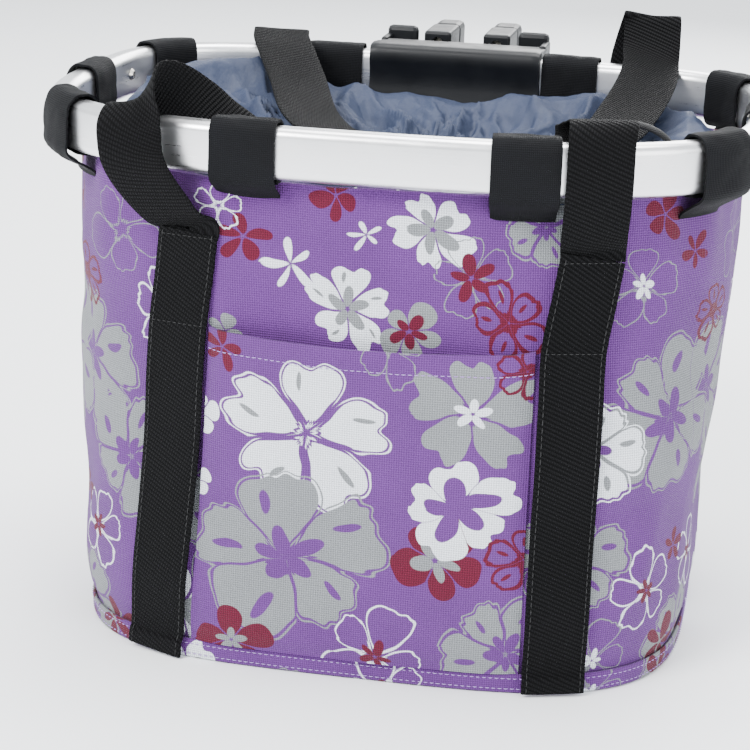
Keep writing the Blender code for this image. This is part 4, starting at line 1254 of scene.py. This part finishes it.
def make_hem():
    """The cover's gathered channel round the mouth."""
    shares = round_shares(260)
    plan = (BAG_MOUTH.point(shares) - BAG_MOUTH.outward(shares) * MOUTH_INSET) * MOUTH_SCALE
    inward = -unit(plan)
    rings = []
    for n in range(260):
        swell = 2.5 + 0.7 * abs(math.sin(n * math.pi * 34 / 260)) + 0.3 * math.sin(n * 0.9)
        centre = np.array([*(plan[n] + inward[n] * 3.0 * MM), 219.6 * MM])
        rings.append([centre + np.array([*(inward[n] * swell * MM * math.cos(a)),
                                         swell * MM * math.sin(a)])
                      for a in np.linspace(0, 2 * math.pi, 14, endpoint=False)])
    around = np.linspace(0, 0.016, 15)
    along = np.linspace(0, 0.35, 261)
    verts, faces, uvs = tube_parts(rings, around, along, closed=True)
    return finish_piece("cover_hem_cloth", verts, faces, uvs, [thin_nylon()],
                        ["cover_hem"], smooth=0)


# ---- drawstring
# The cord's middle line in millimetres, from the cover to the cord lock.
CORD_ROUTE = ((81.4, -52, 231.6), (82.1, -55, 237.4), (84.8, -58, 245.5), (90.4, -61, 253.4),
              (99.2, -64, 259.6), (108.4, -66, 262.2), (117.4, -67.3, 261.6),
              (124.6, -67.6, 258.8), (128.9, -67, 254.8), (130.9, -66, 250.6),
              (131.1, -64.4, 247.7), (130.9, -62.3, 246.9))


def make_spring(node, axis, turns):
    """A coil spring with closed end turns."""
    low, high = (np.array(corner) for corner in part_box(node))
    wide = [n for n in range(3) if n != axis]
    wire = 0.35 * MM
    length = high[axis] - low[axis]
    radius = (high[wide[0]] - low[wide[0]]) / 2 - wire
    turn = np.linspace(0, turns, turns * 28 + 1)
    rise = np.interp(turn, (0, 1, turns - 1, turns),
                     (wire, 3 * wire, length - 3 * wire, length - wire))
    angles = np.linspace(0, 2 * math.pi, 12, endpoint=False)
    rings = np.zeros((len(turn), len(angles), 3))
    out = radius + wire * np.cos(angles)[None]
    rings[..., wide[0]] = (low + high)[wide[0]] / 2 + out * np.cos(2 * math.pi * turn)[:, None]
    rings[..., wide[1]] = (low + high)[wide[1]] / 2 + out * np.sin(2 * math.pi * turn)[:, None]
    rings[..., axis] = low[axis] + rise[:, None] + wire * np.sin(angles)[None]
    verts, faces, uvs = tube_parts(rings, np.linspace(0, 2 * math.pi * wire, 13),
                                   turn * 2 * math.pi * radius)
    made = finish_piece(f"{node}_coil", verts, faces, uvs, [nickel()], [node])
    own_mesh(made)
    return made


def make_drawstring():
    route = smooth_route(CORD_ROUTE, 6) * MM
    along = unit(np.gradient(route, axis=0))
    side = unit(np.cross(along, np.array([0.2, 1.0, 0.1])))
    lift = np.cross(side, along)
    angles = np.linspace(0, 2 * math.pi, 16, endpoint=False)
    run = lengths(route)
    rings = []
    for n, centre in enumerate(route):
        rings.append([centre + (side[n] * math.cos(a) + lift[n] * math.sin(a)) * 1.5 * MM
                      for a in angles])
    around = np.linspace(0, 2 * math.pi * 1.5 * MM, 17)
    verts, faces, uvs = tube_parts(rings, around, run)
    cord = finish_piece("drawstring_cord", verts, faces, uvs, [braided_cord()],
                        ["drawstring"])
    coil = make_spring("cord_lock_spring", 1, 4)


# ---- bracket shell
# The shell's section in millimetres: outward from the rim's line, and up from its middle.
SHELL_PROFILE = ((-12.0, -12.8), (-11.4, -13.4), (-6.7, -13.4), (-6.4, -12.4), (-6.4, 0),
                 (-6.4, 12.4), (0, 12.4), (6.0, 12.4), (6.2, 13.6), (4.8, 15.9), (2.0, 16.8),
                 (-3.0, 16.9), (-8.2, 16.6), (-11.2, 15.0), (-12.5, 12.2), (-12.6, 8.5),
                 (-11.7, 4.5), (-10.8, 0), (-10.7, -4.5), (-11.3, -9))


def make_shell():
    """The bracket's moulded front half: a rounded top rib over a hollow inner face."""
    profile = smooth_route((*SHELL_PROFILE, SHELL_PROFILE[0]), 5)[:-1]
    middle = float(share_at(RIM_LINE.point, 2 * MM, False))
    reach = 46 * MM / RIM_LINE.length
    rings = []
    for t in np.linspace(-1, 1, 41):
        shrink = 0.9 * np.clip((abs(t) - 0.965) / 0.035, 0, 1) ** 2
        centre = profile.mean(axis=0)
        pulled = profile + (centre - profile) * shrink * 0.06
        pulled[:, 0] = np.where(profile[:, 0] > -6.5, profile[:, 0], pulled[:, 0])
        rings.append(rim_place(middle - t * reach, pulled[:, 0], pulled[:, 1]))
    run = lengths(np.array(rings).mean(axis=1))
    verts, faces, uvs = tube_parts(rings, lengths(profile, True) * MM, run)
    finish_piece("bracket_front_moulding", verts, faces, uvs, [black_plastic()],
                 ["bracket_front_shell"], smooth=50)


# ---- CAD finishes
def dress_nodes():
    """Gives every CAD node that stays in sight its finish."""
    for name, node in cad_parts.items():
        if node.hide_render:
            continue
        if name.startswith(("rim_", "bracket_screw", "clamp_screw", "clamp_nut")):
            finish = nickel()
        elif "liner" in name:
            finish = clamp_rubber()
        elif name == "base_board":
            finish = grey_board()
        else:
            finish = black_plastic()
        node.data.materials.clear()
        node.data.materials.append(finish)


# ---- stage
def make_stage():
    bm = bmesh.new()
    bmesh.ops.create_grid(bm, x_segments=1, y_segments=1, size=4.0)
    mesh = bpy.data.meshes.new("floor")
    bm.to_mesh(mesh)
    bm.free()
    floor = bpy.data.objects.new("floor", mesh)
    floor.location = (0, 0, -0.0004)
    bpy.context.scene.collection.objects.link(floor)

    def pale(web, shader):
        grain = web.noise(web.place(), 3.0, 4.0)
        shader["Base Color"] = web.mix(grain, (0.9, 0.915, 0.93, 1), (0.92, 0.93, 0.94, 1))
        shader["Roughness"] = 0.8
    mesh.materials.append(principled("pale_floor", pale))
    world = bpy.data.worlds.new("studio")
    world.use_nodes = True
    bpy.context.scene.world = world
    sky = world.node_tree.nodes["Background"]
    sky.inputs["Color"].default_value = (0.93, 0.965, 1.0, 1)
    sky.inputs["Strength"].default_value = 1.75
    for name, place, size, power in (("key", (-1.1, -1.6, 1.7), 1.1, 95),
                                     ("fill", (1.6, -1.2, 0.9), 1.5, 24),
                                     ("top", (0.1, 0.3, 1.9), 1.2, 48),
                                     ("back", (0.2, 1.8, 1.0), 1.2, 30)):
        data = bpy.data.lights.new(name, "AREA")
        data.shape = "DISK"
        data.size = size
        data.energy = power
        light = bpy.data.objects.new(name, data)
        aim = Vector((0, 0, 0.15)) - Vector(place)
        light.rotation_euler = aim.to_track_quat("-Z", "Y").to_euler()
        light.location = place
        bpy.context.scene.collection.objects.link(light)


make_drawstring()
make_rim()
make_loops()
make_bag()
make_lining()
make_bindings()
make_floor_panel()
make_pocket()
make_straps()
make_handles()
cover = make_cover()
hem = make_hem()
make_shell()
make_spring("release_spring", 2, 6)
dress_nodes()
make_stage()
